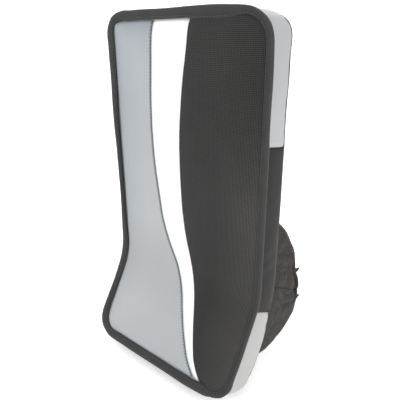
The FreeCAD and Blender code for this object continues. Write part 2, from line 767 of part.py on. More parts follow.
def free_at(z):
    """The guard's rear edge and its outward direction at a height."""
    c = Part.BSplineCurve()
    c.interpolate([Vector(0, y, zz) for y, zz in FREE])
    best = None
    for i in range(1, 400):
        u = c.FirstParameter + (c.LastParameter - c.FirstParameter) * i / 400
        p = c.value(u)
        if p.y > 60 and (best is None or abs(p.z - z) < abs(best[0].z - z)):
            best = (p, c.tangent(u)[0])
    p, tg = best
    nrm = Vector(0, -tg.z, tg.y)
    if nrm.y < 0:
        nrm = nrm * -1
    return p, nrm


# lacing on the guard's rear face: a flat lace between two eyelets, each with a knotted end
lace_x = 86.5
eyelets, knots = [], []
for z in (88.0, 49.5):
    p, nrm = free_at(z)
    at = Vector(lace_x, p.y, p.z) + nrm * 0.1
    ring = Part.makeCylinder(2.9, 0.9, at, nrm).cut(Part.makeCylinder(1.5, 3, at - nrm, nrm))
    eyelets.append(ring)
    k0 = at + nrm * 3.2
    stub = Part.makeCylinder(1.0, 4.6, k0, (nrm * 0.93 + Vector(0.35, 0, 0)).normalize())
    knots.append(Part.makeSphere(2.2, k0).fuse(stub).removeSplitter())
node(solid("eyelet_pair", Part.makeCompound(eyelets)), "guard_eyelets")
node(solid("knot_pair", Part.makeCompound([k.Solids[0] for k in knots])), "lace_knots")
run = []
for i in range(13):
    z = 83.6 - i * (83.6 - 54.0) / 12
    run.append(free_at(z))
inner = [Vector(lace_x - 1.6, p.y, p.z) + q * 0.15 for p, q in run]
outer = [Vector(lace_x - 1.6, p.y, p.z) + q * 1.45 for p, q in run]
ca, cb = Part.BSplineCurve(), Part.BSplineCurve()
ca.interpolate(inner)
cb.interpolate(outer)
lace_face = Part.Face(
    Part.Wire(
        Part.__sortEdges__(
            [
                ca.toShape(),
                Part.LineSegment(inner[-1], outer[-1]).toShape(),
                cb.toShape(),
                Part.LineSegment(outer[0], inner[0]).toShape(),
            ]
        )
    )
)
node(solid("lace_run", lace_face.extrude(Vector(3.2, 0, 0))), "guard_lace")

# ---------------------------------------------------------------- wrist strap
sz, sw = size("strap_z"), size("strap_wide")
px, py = size("strap_pin_x"), size("strap_pin_y")
ax, ay = size("anchor_pin_x"), size("anchor_pin_y")
rw = size("ring_wire")
st = size("strap_thick")


def tube_z(x, y, z0, z1, r, bore=None):
    c = Part.makeCylinder(r, z1 - z0, Vector(x, y, z0), Vector(0, 0, 1))
    return c


# strap: an eye round the ring's bar and a flat band across the palm side of the cuff
eye = tube_z(px, py, sz - sw / 2, sz + sw / 2, rw + 0.4 + st)
band = Part.makeBox(px + 46.0, st, sw, Vector(-46.0, py - st / 2 + 0.0, sz - sw / 2))
tip = [e for e in band.Edges if abs(e.BoundBox.XMax + 46.0) < 1e-6 and e.BoundBox.YLength > 1]
band = band.makeFillet(8, tip)
strap = eye.fuse(band).cut(tube_z(px, py, sz - sw, sz + sw, rw + 0.4)).removeSplitter()
node(solid("strap_band", strap.Solids[0]), "wrist_strap")
node(
    block(
        "hook",
        ("-42", "-4"),
        ("Sizes.cuff_back + 1.45", "Sizes.strap_pin_y - 1.25"),
        ("Sizes.strap_z - 14", "Sizes.strap_z + 14"),
    ),
    "strap_hook_patch",
)
node(
    block(
        "loop",
        ("-42", "14"),
        ("Sizes.cuff_back + 0.05", "Sizes.cuff_back + 1.35"),
        ("Sizes.strap_z - 15", "Sizes.strap_z + 15"),
    ),
    "strap_loop_patch",
)
# rectangular wire ring: two bars and two short links
zr = sw / 2 + 2.6
d = Vector(ax - px, ay - py, 0)
ringshape = tube_z(px, py, sz - zr, sz + zr, rw).fuse(
    [
        tube_z(ax, ay, sz - zr, sz + zr, rw),
        Part.makeCylinder(rw, d.Length, Vector(px, py, sz - zr), d),
        Part.makeCylinder(rw, d.Length, Vector(px, py, sz + zr), d),
        Part.makeSphere(rw, Vector(px, py, sz - zr)),
        Part.makeSphere(rw, Vector(px, py, sz + zr)),
        Part.makeSphere(rw, Vector(ax, ay, sz - zr)),
        Part.makeSphere(rw, Vector(ax, ay, sz + zr)),
    ]
)
node(solid("ring_wire", ringshape.removeSplitter().Solids[0]), "strap_ring")
# anchor tab: an eye round the other bar and a tongue along the cuff's thumb side
eye = tube_z(ax, ay, sz - 14, sz + 14, rw + 0.4 + 1.6)
tongue = Part.makeBox(2.0, 24.0, 28.0, Vector(ax - rw - 2.0, ay - 24.0, sz - 14))
tab = eye.fuse(tongue).cut(tube_z(ax, ay, sz - sw, sz + sw, rw + 0.4))
rivets = []
tab_out = ax - rw
for z in (sz - 7.0, sz + 7.0):
    y = ay - 17.0
    tab = tab.cut(Part.makeCylinder(2.1, 10, Vector(tab_out - 6, y, z), Vector(1, 0, 0)))
    rivets.append(
        Part.makeCylinder(1.95, 7.0, Vector(tab_out - 6.9, y, z), Vector(1, 0, 0)).fuse(
            [
                Part.makeCylinder(3.8, 1.2, Vector(tab_out + 0.05, y, z), Vector(1, 0, 0)),
                Part.makeCylinder(3.8, 1.0, Vector(tab_out - 7.8, y, z), Vector(1, 0, 0)),
            ]
        ).removeSplitter().Solids[0]
    )
node(solid("anchor_tab", tab.removeSplitter().Solids[0]), "strap_anchor_tab")
node(solid("rivet_pair", Part.makeCompound(rivets)), "anchor_rivets")
rivet_tools = []
for i, z in enumerate((sz - 7.0, sz + 7.0)):
    cyl = doc.addObject("Part::Cylinder", f"rivet_hole_{i}")
    cyl.Radius = 2.1
    cyl.Height = 20
    cyl.Placement = Placement(Vector(45, ay - 17.0, z), Rotation(Vector(0, 1, 0), 90))
    rivet_tools.append(cyl)
rivet_tool = doc.addObject("Part::MultiFuse", "rivet_holes")
rivet_tool.Shapes = rivet_tools
node(boolean("Part::Cut", "cuff_tube_cut", cuff, rivet_tool), "cuff_shell")

# ---------------------------------------------------------------- checks and export
# the row frame: every piece shifts so that the hand space's centre is the origin
for label, obj in NODES:
    obj.setExpression(".Placement.Base.y", "-Sizes.hand_y * 1 mm")
    obj.setExpression(".Placement.Base.z", "-Sizes.hand_z * 1 mm")
doc.recompute()
bad = [o.Name for o in doc.Objects if "Invalid" in o.State or "Error" in o.State]
if bad:
    raise RuntimeError(f"failed objects: {bad}")
labels = [n for n, _ in NODES]
if len(set(labels)) != len(labels) or len(labels) > 60:
    raise RuntimeError("node names")
for label, obj in NODES:
    s = obj.Shape
    if s.isNull() or not s.isValid() or not s.Solids or s.Volume <= 0:
        raise RuntimeError(f"{label}: the shape is not usable")
for label, obj in NODES:
    s = obj.Shape
    s.exportStep(f"parts/{label}.step")
    b = s.BoundBox
    print(f"{label:22s} solids {len(s.Solids)} vol {s.Volume / 1000:8.2f} cm3  x {b.XMin:7.1f} {b.XMax:7.1f}  y {b.YMin:7.1f} {b.YMax:7.1f}  z {b.ZMin:7.1f} {b.ZMax:7.1f}")
print(len(labels), "nodes")
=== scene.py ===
import math

import bpy
import numpy as np
from mathutils import Matrix, Vector


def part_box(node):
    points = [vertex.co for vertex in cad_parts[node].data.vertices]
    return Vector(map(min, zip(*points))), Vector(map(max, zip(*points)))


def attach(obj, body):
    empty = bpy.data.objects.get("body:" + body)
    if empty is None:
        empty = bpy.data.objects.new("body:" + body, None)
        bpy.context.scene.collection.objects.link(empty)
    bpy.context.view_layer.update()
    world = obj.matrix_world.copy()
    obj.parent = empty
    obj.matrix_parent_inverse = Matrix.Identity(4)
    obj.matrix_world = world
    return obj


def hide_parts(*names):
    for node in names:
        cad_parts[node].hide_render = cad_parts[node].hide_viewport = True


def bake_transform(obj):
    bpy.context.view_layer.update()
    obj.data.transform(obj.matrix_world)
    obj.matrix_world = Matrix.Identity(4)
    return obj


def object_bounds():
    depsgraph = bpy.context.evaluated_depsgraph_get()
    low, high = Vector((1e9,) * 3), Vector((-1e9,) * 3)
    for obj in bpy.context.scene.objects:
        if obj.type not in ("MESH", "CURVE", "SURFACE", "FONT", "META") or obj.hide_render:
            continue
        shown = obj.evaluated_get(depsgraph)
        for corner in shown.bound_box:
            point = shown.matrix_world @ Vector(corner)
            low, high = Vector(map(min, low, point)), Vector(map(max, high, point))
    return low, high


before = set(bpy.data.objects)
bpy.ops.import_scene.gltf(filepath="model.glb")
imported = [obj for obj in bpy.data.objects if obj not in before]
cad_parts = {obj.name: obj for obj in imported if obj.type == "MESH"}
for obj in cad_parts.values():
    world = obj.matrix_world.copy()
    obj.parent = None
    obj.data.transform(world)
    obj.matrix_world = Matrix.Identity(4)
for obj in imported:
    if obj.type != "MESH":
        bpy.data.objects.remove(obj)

cad_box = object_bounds()

# ------------------------------------------------------------------ the board's own coordinates
# x across (mm), s along the face from the bottom edge round the bend (mm), t behind the face (mm)
OY, OZ = 61.0, 162.0
W, L, HW = 203.0, 381.0, 101.5
PHI = math.radians(30.0)
RAD = 70.0
S_LOW = 107.5 - RAD * PHI / 2
S_HIGH = 107.5 + RAD * PHI / 2
ZB = RAD * math.sin(PHI) + S_LOW * math.cos(PHI)
RC = 30.0


def bend(x, s, t):
    """(x, s, t) in mm to the row frame in metres, as an (..., 3) array."""
    x, s, t = np.broadcast_arrays(*(np.asarray(a, float) for a in (x, s, t)))
    a = np.clip((S_HIGH - s) / RAD, 0.0, PHI)
    up = np.maximum(s - S_HIGH, 0.0)
    lo = np.maximum(S_LOW - s, 0.0)
    y = -RAD + (RAD + t) * np.cos(a) - lo * math.sin(PHI)
    z = ZB - (RAD + t) * np.sin(a) - lo * math.cos(PHI) + up
    return np.stack([x, y - OY, z - OZ], -1) * 0.001


def row(x, y, z):
    """Upright board coordinates in mm to the row frame in metres."""
    x, y, z = np.broadcast_arrays(*(np.asarray(a, float) for a in (x, y, z)))
    return np.stack([x, y - OY, z - OZ], -1) * 0.001


def z_to_s(z):
    """Arc length along the face for a height z on the front surface."""
    z = np.asarray(z, float)
    a = np.arcsin(np.clip((ZB - z) / RAD, 0.0, 1.0))
    zl = ZB - RAD * math.sin(PHI)
    return np.where(z >= ZB, S_HIGH + z - ZB, np.where(z >= zl, S_HIGH - RAD * a, S_LOW - (zl - z) / math.cos(PHI)))


def spline(points, xs):
    """Smooth one-valued curve through points (a Catmull-Rom style cubic Hermite)."""
    p = np.asarray(sorted(points), float)
    x, y = p[:, 0], p[:, 1]
    h = np.diff(x)
    d = np.diff(y) / h
    m = np.empty_like(y)
    m[1:-1] = (d[:-1] * h[1:] + d[1:] * h[:-1]) / (h[1:] + h[:-1])
    m[0], m[-1] = d[0], d[-1]
    xs = np.asarray(xs, float)
    i = np.clip(np.searchsorted(x, xs) - 1, 0, len(h) - 1)
    u = (xs - x[i]) / h[i]
    u = np.where(xs < x[0], u, np.where(xs > x[-1], u, u))
    v = (
        (2 * u**3 - 3 * u**2 + 1) * y[i]
        + (u**3 - 2 * u**2 + u) * h[i] * m[i]
        + (-2 * u**3 + 3 * u**2) * y[i + 1]
        + (u**3 - u**2) * h[i] * m[i + 1]
    )
    low = y[0] + (xs - x[0]) * m[0]
    high = y[-1] + (xs - x[-1]) * m[-1]
    return np.where(xs < x[0], low, np.where(xs > x[-1], high, v))


def value_noise(p, scale, seed=0):
    """Smooth repeatable noise in -1..1 at (..., 3) points in metres; scale is the feature size in metres."""
    p = np.asarray(p, float) / scale + seed * 17.31
    i = np.floor(p).astype(np.int64)
    f = p - i
    f = f * f * (3 - 2 * f)
    out = np.zeros(p.shape[:-1])
    for dx in (0, 1):
        for dy in (0, 1):
            for dz in (0, 1):
                n = (i[..., 0] + dx) * 374761393 + (i[..., 1] + dy) * 668265263 + (i[..., 2] + dz) * 2147483647 + seed * 974634777
                n = (n ^ (n >> 13)) * 1274126177
                n = (n ^ (n >> 16)) & 0xFFFF
                w = (f[..., 0] if dx else 1 - f[..., 0]) * (f[..., 1] if dy else 1 - f[..., 1]) * (f[..., 2] if dz else 1 - f[..., 2])
                out += w * (n / 32767.5 - 1)
    return out


# ------------------------------------------------------------------ mesh helpers
def add_marks(o, marks):
    """A second UV map that carries two distances (in metres) for the material."""
    me = o.data
    layer = me.uv_layers.new(name="Marks")
    idx = np.zeros(len(me.loops), np.int64)
    me.loops.foreach_get("vertex_index", idx)
    layer.data.foreach_set("uv", np.asarray(marks, float).reshape(-1, 2)[idx].astype(np.float32).ravel())


def add_object(name, verts, faces, material=None, uv=None, smooth=True):
    me = bpy.data.meshes.new(name)
    me.from_pydata([tuple(v) for v in np.asarray(verts, float).reshape(-1, 3)], [], [tuple(int(i) for i in f) for f in faces])
    me.validate(clean_customdata=False)
    me.update()
    if uv is not None:
        uv = np.asarray(uv, float).reshape(-1, 2)
        layer = me.uv_layers.new(name="UVMap")
        idx = np.zeros(len(me.loops), np.int64)
        me.loops.foreach_get("vertex_index", idx)
        layer.data.foreach_set("uv", uv[idx].astype(np.float32).ravel())
    o = bpy.data.objects.new(name, me)
    bpy.context.scene.collection.objects.link(o)
    me.polygons.foreach_set("use_smooth", [bool(smooth)] * len(me.polygons))
    if material is not None:
        me.materials.append(material)
    return o


def fix_normals(o):
    """Turns the faces of a closed mesh outwards."""
    import bmesh

    bm = bmesh.new()
    bm.from_mesh(o.data)
    bmesh.ops.recalc_face_normals(bm, faces=bm.faces)
    if bm.calc_volume(signed=True) < 0:
        bmesh.ops.reverse_faces(bm, faces=bm.faces)
    bm.to_mesh(o.data)
    bm.free()
    o.data.update()
    return o


def grid_faces(nu, nv, wrap_u=False, wrap_v=False, start=0):
    out = []
    for i in range(nu if wrap_u else nu - 1):
        for j in range(nv if wrap_v else nv - 1):
            a = i * nv + j
            b = ((i + 1) % nu) * nv + j
            c = ((i + 1) % nu) * nv + (j + 1) % nv
            d = i * nv + (j + 1) % nv
            out.append((a + start, b + start, c + start, d + start))
    return out


def slab(name, top, bottom, material=None, uv=None):
    """A closed shell between two (nu, nv, 3) grids with the same layout."""
    nu, nv = top.shape[:2]
    n = nu * nv
    verts = np.concatenate([top.reshape(-1, 3), bottom.reshape(-1, 3)])
    faces = grid_faces(nu, nv)
    faces += [tuple(reversed(f)) for f in grid_faces(nu, nv, start=n)]
    rim = [(i, 0) for i in range(nu)] + [(nu - 1, j) for j in range(1, nv)] + [(i, nv - 1) for i in range(nu - 2, -1, -1)] + [(0, j) for j in range(nv - 2, 0, -1)]
    ids = [i * nv + j for i, j in rim]
    for k in range(len(ids)):
        a, b = ids[k], ids[(k + 1) % len(ids)]
        faces.append((a, a + n, b + n, b))
    uvs = None
    if uv is not None:
        uvs = np.concatenate([uv.reshape(-1, 2), uv.reshape(-1, 2)])
    return fix_normals(add_object(name, verts, faces, material, uvs))


def tube(name, rings, material=None, closed=False, uv=None, caps=True):
    """A closed shell through (nu, nv, 3) rings of nv points; ends capped unless the path is closed."""
    nu, nv = rings.shape[:2]
    verts = rings.reshape(-1, 3)
    faces = grid_faces(nu, nv, wrap_u=closed, wrap_v=True)
    if not closed and caps:
        faces.append(tuple(range(nv)))
        faces.append(tuple(range((nu - 1) * nv, nu * nv)))
    return fix_normals(add_object(name, verts, faces, material, None if uv is None else uv.reshape(-1, 2)))


def frames_along(points, up=None):
    """Tangent, side and normal arrays along a polyline of (n, 3) points."""
    p = np.asarray(points, float)
    tg = np.gradient(p, axis=0)
    tg /= np.linalg.norm(tg, axis=1)[:, None] + 1e-12
    if up is None:
        n = np.zeros_like(p)
        v = np.array([0.31, 0.17, 0.93])
        v -= tg[0] * (v @ tg[0])
        v /= np.linalg.norm(v)
        for i in range(len(p)):
            v = v - tg[i] * (v @ tg[i])
            v /= np.linalg.norm(v)
            n[i] = v
    else:
        n = np.asarray(up, float) - tg * np.sum(np.asarray(up, float) * tg, axis=1)[:, None]
        n /= np.linalg.norm(n, axis=1)[:, None] + 1e-12
    return tg, np.cross(tg, n), n


def cord_mesh(name, points, radius, material, sides=8, squash=1.0, up=None, round_ends=True):
    """A round (or flattened) tube along a polyline, with rounded ends."""
    p = np.asarray(points, float)
    tg, side, nrm = frames_along(p, up)
    rad = np.full(len(p), float(radius))
    if round_ends:
        p = np.concatenate([[p[0] - tg[0] * radius * 0.8], p, [p[-1] + tg[-1] * radius * 0.8]])
        side = np.concatenate([side[:1], side, side[-1:]])
        nrm = np.concatenate([nrm[:1], nrm, nrm[-1:]])
        rad = np.concatenate([[radius * 0.35], rad, [radius * 0.35]])
    a = np.arange(sides) / sides * 2 * math.pi
    rings = p[:, None, :] + rad[:, None, None] * (
        np.cos(a)[None, :, None] * side[:, None, :] + squash * np.sin(a)[None, :, None] * nrm[:, None, :]
    )
    return tube(name, rings, material)


def stitches(name, points, normals, material, length=2.6, gap=0.9, radius=0.32, sink=0.05, slant=0.0):
    """A run of separate sewn stitches along a line of (n, 3) points in metres; sizes in mm."""
    p, nn = np.asarray(points, float), np.asarray(normals, float)
    seg = np.linalg.norm(np.diff(p, axis=0), axis=1)
    d = np.concatenate([[0], np.cumsum(seg)])
    pitch = (length + gap) * 0.001
    count = max(1, int(d[-1] / pitch))
    pitch = d[-1] / count
    use = pitch * length / (length + gap)
    verts, faces = [], []
    prof = [(-0.5, 0.15), (-0.42, 0.75), (-0.2, 1.0), (0.2, 1.0), (0.42, 0.75), (0.5, 0.15)]
    sides = 6
    for k in range(count):
        c = (k + 0.5) * pitch
        def at(x):
            return np.array([np.interp(x, d, p[:, i]) for i in range(3)])
        a, b = at(c - use / 2), at(c + use / 2)
        n = np.array([np.interp(c, d, nn[:, i]) for i in range(3)])
        tg = b - a
        ln = np.linalg.norm(tg)
        if ln < 1e-9:
            continue
        tg /= ln
        n -= tg * (n @ tg)
        n /= np.linalg.norm(n) + 1e-12
        sd = np.cross(tg, n)
        if slant:
            tg = tg * math.cos(slant) + sd * math.sin(slant)
            sd = np.cross(tg, n)
        mid = (a + b) / 2 + n * (radius * 0.35 - sink) * 0.001
        base = len(verts)
        for u, r in prof:
            arch = (0.25 - u * u) * 0.5 * radius * 0.001
            for q in range(sides):
                an = q / sides * 2 * math.pi
                verts.append(mid + tg * u * ln + n * arch + (sd * math.cos(an) + n * math.sin(an) * 0.8) * r * radius * 0.001)
        for i in range(len(prof) - 1):
            for q in range(sides):
                q2 = (q + 1) % sides
                faces.append((base + i * sides + q, base + i * sides + q2, base + (i + 1) * sides + q2, base + (i + 1) * sides + q))
        faces.append(tuple(base + q for q in reversed(range(sides))))
        faces.append(tuple(base + (len(prof) - 1) * sides + q for q in range(sides)))
    return add_object(name, verts, faces, material)


def subdivide(o, levels=1):
    m = o.modifiers.new("sub", "SUBSURF")
    m.levels = m.render_levels = levels
    apply_all(o)
    return o


def apply_all(o):
    dg = bpy.context.evaluated_depsgraph_get()
    e = o.evaluated_get(dg)
    me = bpy.data.meshes.new_from_object(e, preserve_all_data_layers=True, depsgraph=dg)
    old = o.data
    o.modifiers.clear()
    o.data = me
    me.name = o.name
    bpy.data.meshes.remove(old)
    return o


# ------------------------------------------------------------------ materials
class Nodes:
    """Small helper that builds a material's node tree."""

    def __init__(self, name):
        self.m = bpy.data.materials.new(name)
        self.m.use_nodes = True
        self.t = self.m.node_tree
        self.t.nodes.clear()
        self.out = self.t.nodes.new("ShaderNodeOutputMaterial")
        self.b = self.t.nodes.new("ShaderNodeBsdfPrincipled")
        self.t.links.new(self.b.outputs[0], self.out.inputs[0])
        self.co = self.t.nodes.new("ShaderNodeTexCoord")

    def link(self, a, b):
        self.t.links.new(a, b)

    def add(self, kind, **props):
        n = self.t.nodes.new(kind)
        for k, v in props.items():
            setattr(n, k, v)
        return n

    def math(self, op, a, b=None, c=None, clamp=False):
        n = self.add("ShaderNodeMath", operation=op, use_clamp=clamp)
        for i, v in enumerate((a, b, c)):
            if v is None:
                continue
            if isinstance(v, (int, float)):
                n.inputs[i].default_value = v
            else:
                self.link(v, n.inputs[i])
        return n.outputs[0]

    def noise(self, scale, detail=2.0, rough=0.5, vec=None, out=0):
        n = self.add("ShaderNodeTexNoise")
        n.inputs["Scale"].default_value = scale
        n.inputs["Detail"].default_value = detail
        n.inputs["Roughness"].default_value = rough
        self.link(vec or self.co.outputs["Object"], n.inputs["Vector"])
        return n.outputs[out]

    def voronoi(self, scale, vec=None, feature="F1"):
        n = self.add("ShaderNodeTexVoronoi", feature=feature)
        n.inputs["Scale"].default_value = scale
        self.link(vec or self.co.outputs["Object"], n.inputs["Vector"])
        return n.outputs["Distance"]

    def ramp(self, fac, stops):
        n = self.add("ShaderNodeValToRGB")
        e = n.color_ramp.elements
        while len(e) < len(stops):
            e.new(0.5)
        for el, (p, c) in zip(e, stops):
            el.position = p
            el.color = (*c, 1) if len(c) == 3 else c
        self.link(fac, n.inputs[0])
        return n.outputs[0]

    def mix(self, fac, a, b, mode="MIX"):
        n = self.add("ShaderNodeMix", data_type="RGBA", blend_type=mode)
        for sock, v in ((n.inputs[0], fac), (n.inputs[6], a), (n.inputs[7], b)):
            if isinstance(v, (int, float)):
                sock.default_value = v
            elif isinstance(v, tuple):
                sock.default_value = (*v, 1) if len(v) == 3 else v
            else:
                self.link(v, sock)
        return n.outputs[2]

    def bump(self, height, strength=0.3, distance=0.0004, normal=None):
        n = self.add("ShaderNodeBump")
        n.inputs["Strength"].default_value = strength
        n.inputs["Distance"].default_value = distance
        self.link(height, n.inputs["Height"])
        if normal is not None:
            self.link(normal, n.inputs["Normal"])
        return n.outputs[0]

    def set(self, **kw):
        for k, v in kw.items():
            sock = self.b.inputs[k.replace("_", " ")]
            if isinstance(v, (int, float)):
                sock.default_value = v
            elif isinstance(v, tuple):
                sock.default_value = (*v, 1) if len(v) == 3 and sock.type == "RGBA" else v
            else:
                self.link(v, sock)
        return self


def weave_height(n, cell, vec=None, twist=0.0):
    """Plain weave from a 2-D vector in metres (UV) or from the object's own coordinates by facing; returns height 0..1."""
    if vec is None:
        # pick the two coordinates that lie along the surface
        geo = n.add("ShaderNodeNewGeometry")
        sn = n.add("ShaderNodeSeparateXYZ")
        n.link(geo.outputs["True Normal"], sn.inputs[0])
        so = n.add("ShaderNodeSeparateXYZ")
        n.link(n.co.outputs["Object"], so.inputs[0])
        ax = n.math("ABSOLUTE", sn.outputs[0])
        ay = n.math("ABSOLUTE", sn.outputs[1])
        az = n.math("ABSOLUTE", sn.outputs[2])
        is_x = n.math("GREATER_THAN", ax, n.math("MAXIMUM", ay, az))
        is_z = n.math("GREATER_THAN", az, n.math("MAXIMUM", ax, ay))
        u = n.math("ADD", n.math("MULTIPLY", so.outputs[1], is_x), n.math("MULTIPLY", so.outputs[0], n.math("SUBTRACT", 1.0, is_x)))
        v = n.math("ADD", n.math("MULTIPLY", so.outputs[1], is_z), n.math("MULTIPLY", so.outputs[2], n.math("SUBTRACT", 1.0, is_z)))
    else:
        s = n.add("ShaderNodeSeparateXYZ")
        n.link(vec, s.inputs[0])
        u, v = s.outputs[0], s.outputs[1]
    if twist:
        c, sn_ = math.cos(twist), math.sin(twist)
        u, v = (
            n.math("SUBTRACT", n.math("MULTIPLY", u, c), n.math("MULTIPLY", v, sn_)),
            n.math("ADD", n.math("MULTIPLY", u, sn_), n.math("MULTIPLY", v, c)),
        )
    k = math.pi / cell
    su = n.math("SINE", n.math("MULTIPLY", u, k))
    sv = n.math("SINE", n.math("MULTIPLY", v, k))
    au, av = n.math("ABSOLUTE", su), n.math("ABSOLUTE", sv)
    cu = n.math("SINE", n.math("MULTIPLY", u, k))
    cv = n.math("SINE", n.math("MULTIPLY", v, k))
    over = n.math("GREATER_THAN", n.math("MULTIPLY", cu, cv), 0.0)
    # over: the thread along v shows, rounded across u; under: the other way
    a = n.math("MULTIPLY", n.math("SQRT", au), n.math("ADD", 0.55, n.math("MULTIPLY", av, 0.45)))
    b = n.math("MULTIPLY", n.math("SQRT", av), n.math("ADD", 0.55, n.math("MULTIPLY", au, 0.45)))
    mixed = n.math("ADD", n.math("MULTIPLY", a, over), n.math("MULTIPLY", b, n.math("SUBTRACT", 1.0, over)))
    return mixed, over


def mat_vinyl(name, base, shade, rough=0.42, grain=0.25, tint=None, painted_shade_kind=None, spec=0.4, tinted=(1, 1, 1)):
    """Smooth coated vinyl with a fine leather grain and faint tone changes, and optional painted shade near a seam or
    towards the outer edge.
    """
    n = Nodes(name)
    big = n.noise(9.0, 3.0, 0.55)
    col = n.ramp(big, [(0.3, shade), (0.62, base)])
    if tint is not None:
        col = n.mix(n.math("MULTIPLY", n.noise(4.0, 1.0), 0.5), col, tint)
    if painted_shade_kind is not None:
        um = n.add("ShaderNodeUVMap")
        um.uv_map = "Marks"
        sm = n.add("ShaderNodeSeparateXYZ")
        n.link(um.outputs[0], sm.inputs[0])
        if painted_shade_kind == "seam":
            # painted shade: the white panel is painted grey where it turns down into the groove of the left seam
            painted_shade = n.ramp(n.math("MULTIPLY", sm.outputs[0], 1 / 0.006), [(0.0, (0.42, 0.45, 0.47)), (0.22, (0.62, 0.66, 0.68)), (0.5, (0.86, 0.885, 0.90)), (0.72, (1, 1, 1))])
            col = n.mix(1.0, col, painted_shade, "MULTIPLY")
        else:
            # painted shade: the grey panel is painted cooler and darker towards its outer edge, where the puffed face
            # turns away from the light, more so in the upper part; a thin dark line runs along the seam
            painted_shade = n.ramp(n.math("MULTIPLY", sm.outputs[1], 1 / 0.05), [(0.0, (0.64, 0.69, 0.73)), (0.35, (0.86, 0.89, 0.92)), (0.8, (1.0, 1.0, 1.0))])
            ux = n.add("ShaderNodeUVMap")
            ux.uv_map = "UVMap"
            su = n.add("ShaderNodeSeparateXYZ")
            n.link(ux.outputs[0], su.inputs[0])
            high = n.math("ADD", n.math("MULTIPLY", su.outputs[1], 1 / 0.30), 0.1, clamp=True)
            col = n.mix(high, col, n.mix(1.0, col, painted_shade, "MULTIPLY"))
            # painted shade: a little darker where the panel turns forward at the bend and faces the light more
            bend_painted_shade = n.math("MULTIPLY", n.math("SUBTRACT", su.outputs[1], 0.112), 1 / 0.055)
            bend_painted_shade = n.math("SUBTRACT", 1.0, n.math("MULTIPLY", bend_painted_shade, bend_painted_shade), clamp=True)
            col = n.mix(1.0, col, n.ramp(bend_painted_shade, [(0.0, (1, 1, 1)), (1.0, (0.935, 0.92, 0.91))]), "MULTIPLY")
            # a thin dark line along the seam: partly the seam's dark joint, partly painted shade in its groove
            edge = n.ramp(n.math("MULTIPLY", sm.outputs[0], 1 / 0.004), [(0.0, (0.12, 0.13, 0.14)), (0.16, (0.30, 0.32, 0.34)), (0.32, (0.92, 0.93, 0.94)), (0.6, (1, 1, 1))])
            col = n.mix(1.0, col, edge, "MULTIPLY")
    fine = n.voronoi(900.0)
    fine2 = n.noise(1500.0, 3.0, 0.6)
    wrinkle = n.noise(60.0, 4.0, 0.6)
    h = n.math("ADD", n.math("MULTIPLY", fine, 0.5), n.math("MULTIPLY", fine2, 0.35))
    bump = n.bump(h, grain, 0.00012)
    bump = n.bump(wrinkle, 0.12, 0.0006, bump)
    r = n.math("ADD", n.math("MULTIPLY", n.noise(35.0, 3.0), 0.12), rough - 0.06)
    n.set(Base_Color=col, Roughness=r, Normal=bump)
    n.b.inputs["Specular IOR Level"].default_value = spec
    n.b.inputs["Specular Tint"].default_value = (*tinted, 1)
    n.b.inputs["Coat Weight"].default_value = 0.08 if spec > 0.3 else 0.02
    n.b.inputs["Coat Roughness"].default_value = 0.35
    return n.m


def mat_woven(name, base, high, cell=0.0011, rough=0.62, sheen=0.25, uv=True, strength=0.55, twist=0.0, wear=0.15, dist=0.0003, spec=0.24, tint=(1, 0.985, 0.97), painted_rim_light=None):
    """Woven nylon: over-and-under threads, slightly lighter on their crowns, with optional painted light towards one
    rim.
    """
    n = Nodes(name)
    if uv:
        um = n.add("ShaderNodeUVMap")
        um.uv_map = "UVMap"
        hgt, over = weave_height(n, cell, um.outputs[0], twist)
    else:
        hgt, over = weave_height(n, cell, None, twist)
    crown = n.ramp(hgt, [(0.35, base), (0.95, high)])
    tone = n.ramp(n.noise(14.0, 4.0, 0.6), [(0.3, (0.84, 0.84, 0.84)), (0.7, (1.12, 1.12, 1.12))])
    col = n.mix(1.0, crown, tone, "MULTIPLY")
    dust = n.math("MULTIPLY", n.ramp(n.noise(420.0, 2.0, 0.7), [(0.62, (0, 0, 0)), (0.8, (1, 1, 1))]), wear)
    col = n.mix(dust, col, tuple(min(1.0, c * 2.2) for c in high))
    if painted_rim_light is not None:
        # painted light: paler towards the right rim and fading out towards the top, standing in for the light from the
        # right on the cushion's roll
        x0, x1, s0, s1, gain = painted_rim_light
        se = n.add("ShaderNodeSeparateXYZ")
        n.link(um.outputs[0], se.inputs[0])
        across = n.math("MULTIPLY", n.math("SUBTRACT", se.outputs[0], x0), 1 / (x1 - x0), clamp=True)
        along = n.math("MULTIPLY", n.math("SUBTRACT", s1, se.outputs[1]), 1 / (s1 - s0), clamp=True)
        k = n.math("MULTIPLY", n.math("MULTIPLY", across, along), gain)
        col = n.mix(1.0, col, n.ramp(k, [(0.0, (0.92, 0.92, 0.92)), (1.0, (1.92, 1.90, 1.88))]), "MULTIPLY")
    bump = n.bump(hgt, strength, dist)
    soft = n.noise(45.0, 3.0, 0.55)
    bump = n.bump(soft, 0.12, 0.0008, bump)
    n.set(Base_Color=col, Roughness=n.math("ADD", n.math("MULTIPLY", hgt, -0.12), rough + 0.08), Normal=bump)
    n.b.inputs["Sheen Weight"].default_value = sheen
    n.b.inputs["Sheen Roughness"].default_value = 0.45
    n.b.inputs["Specular IOR Level"].default_value = spec
    n.b.inputs["Specular Tint"].default_value = (*tint, 1)
    n.b.inputs["Sheen Tint"].default_value = (*tint, 1)
    return n.m


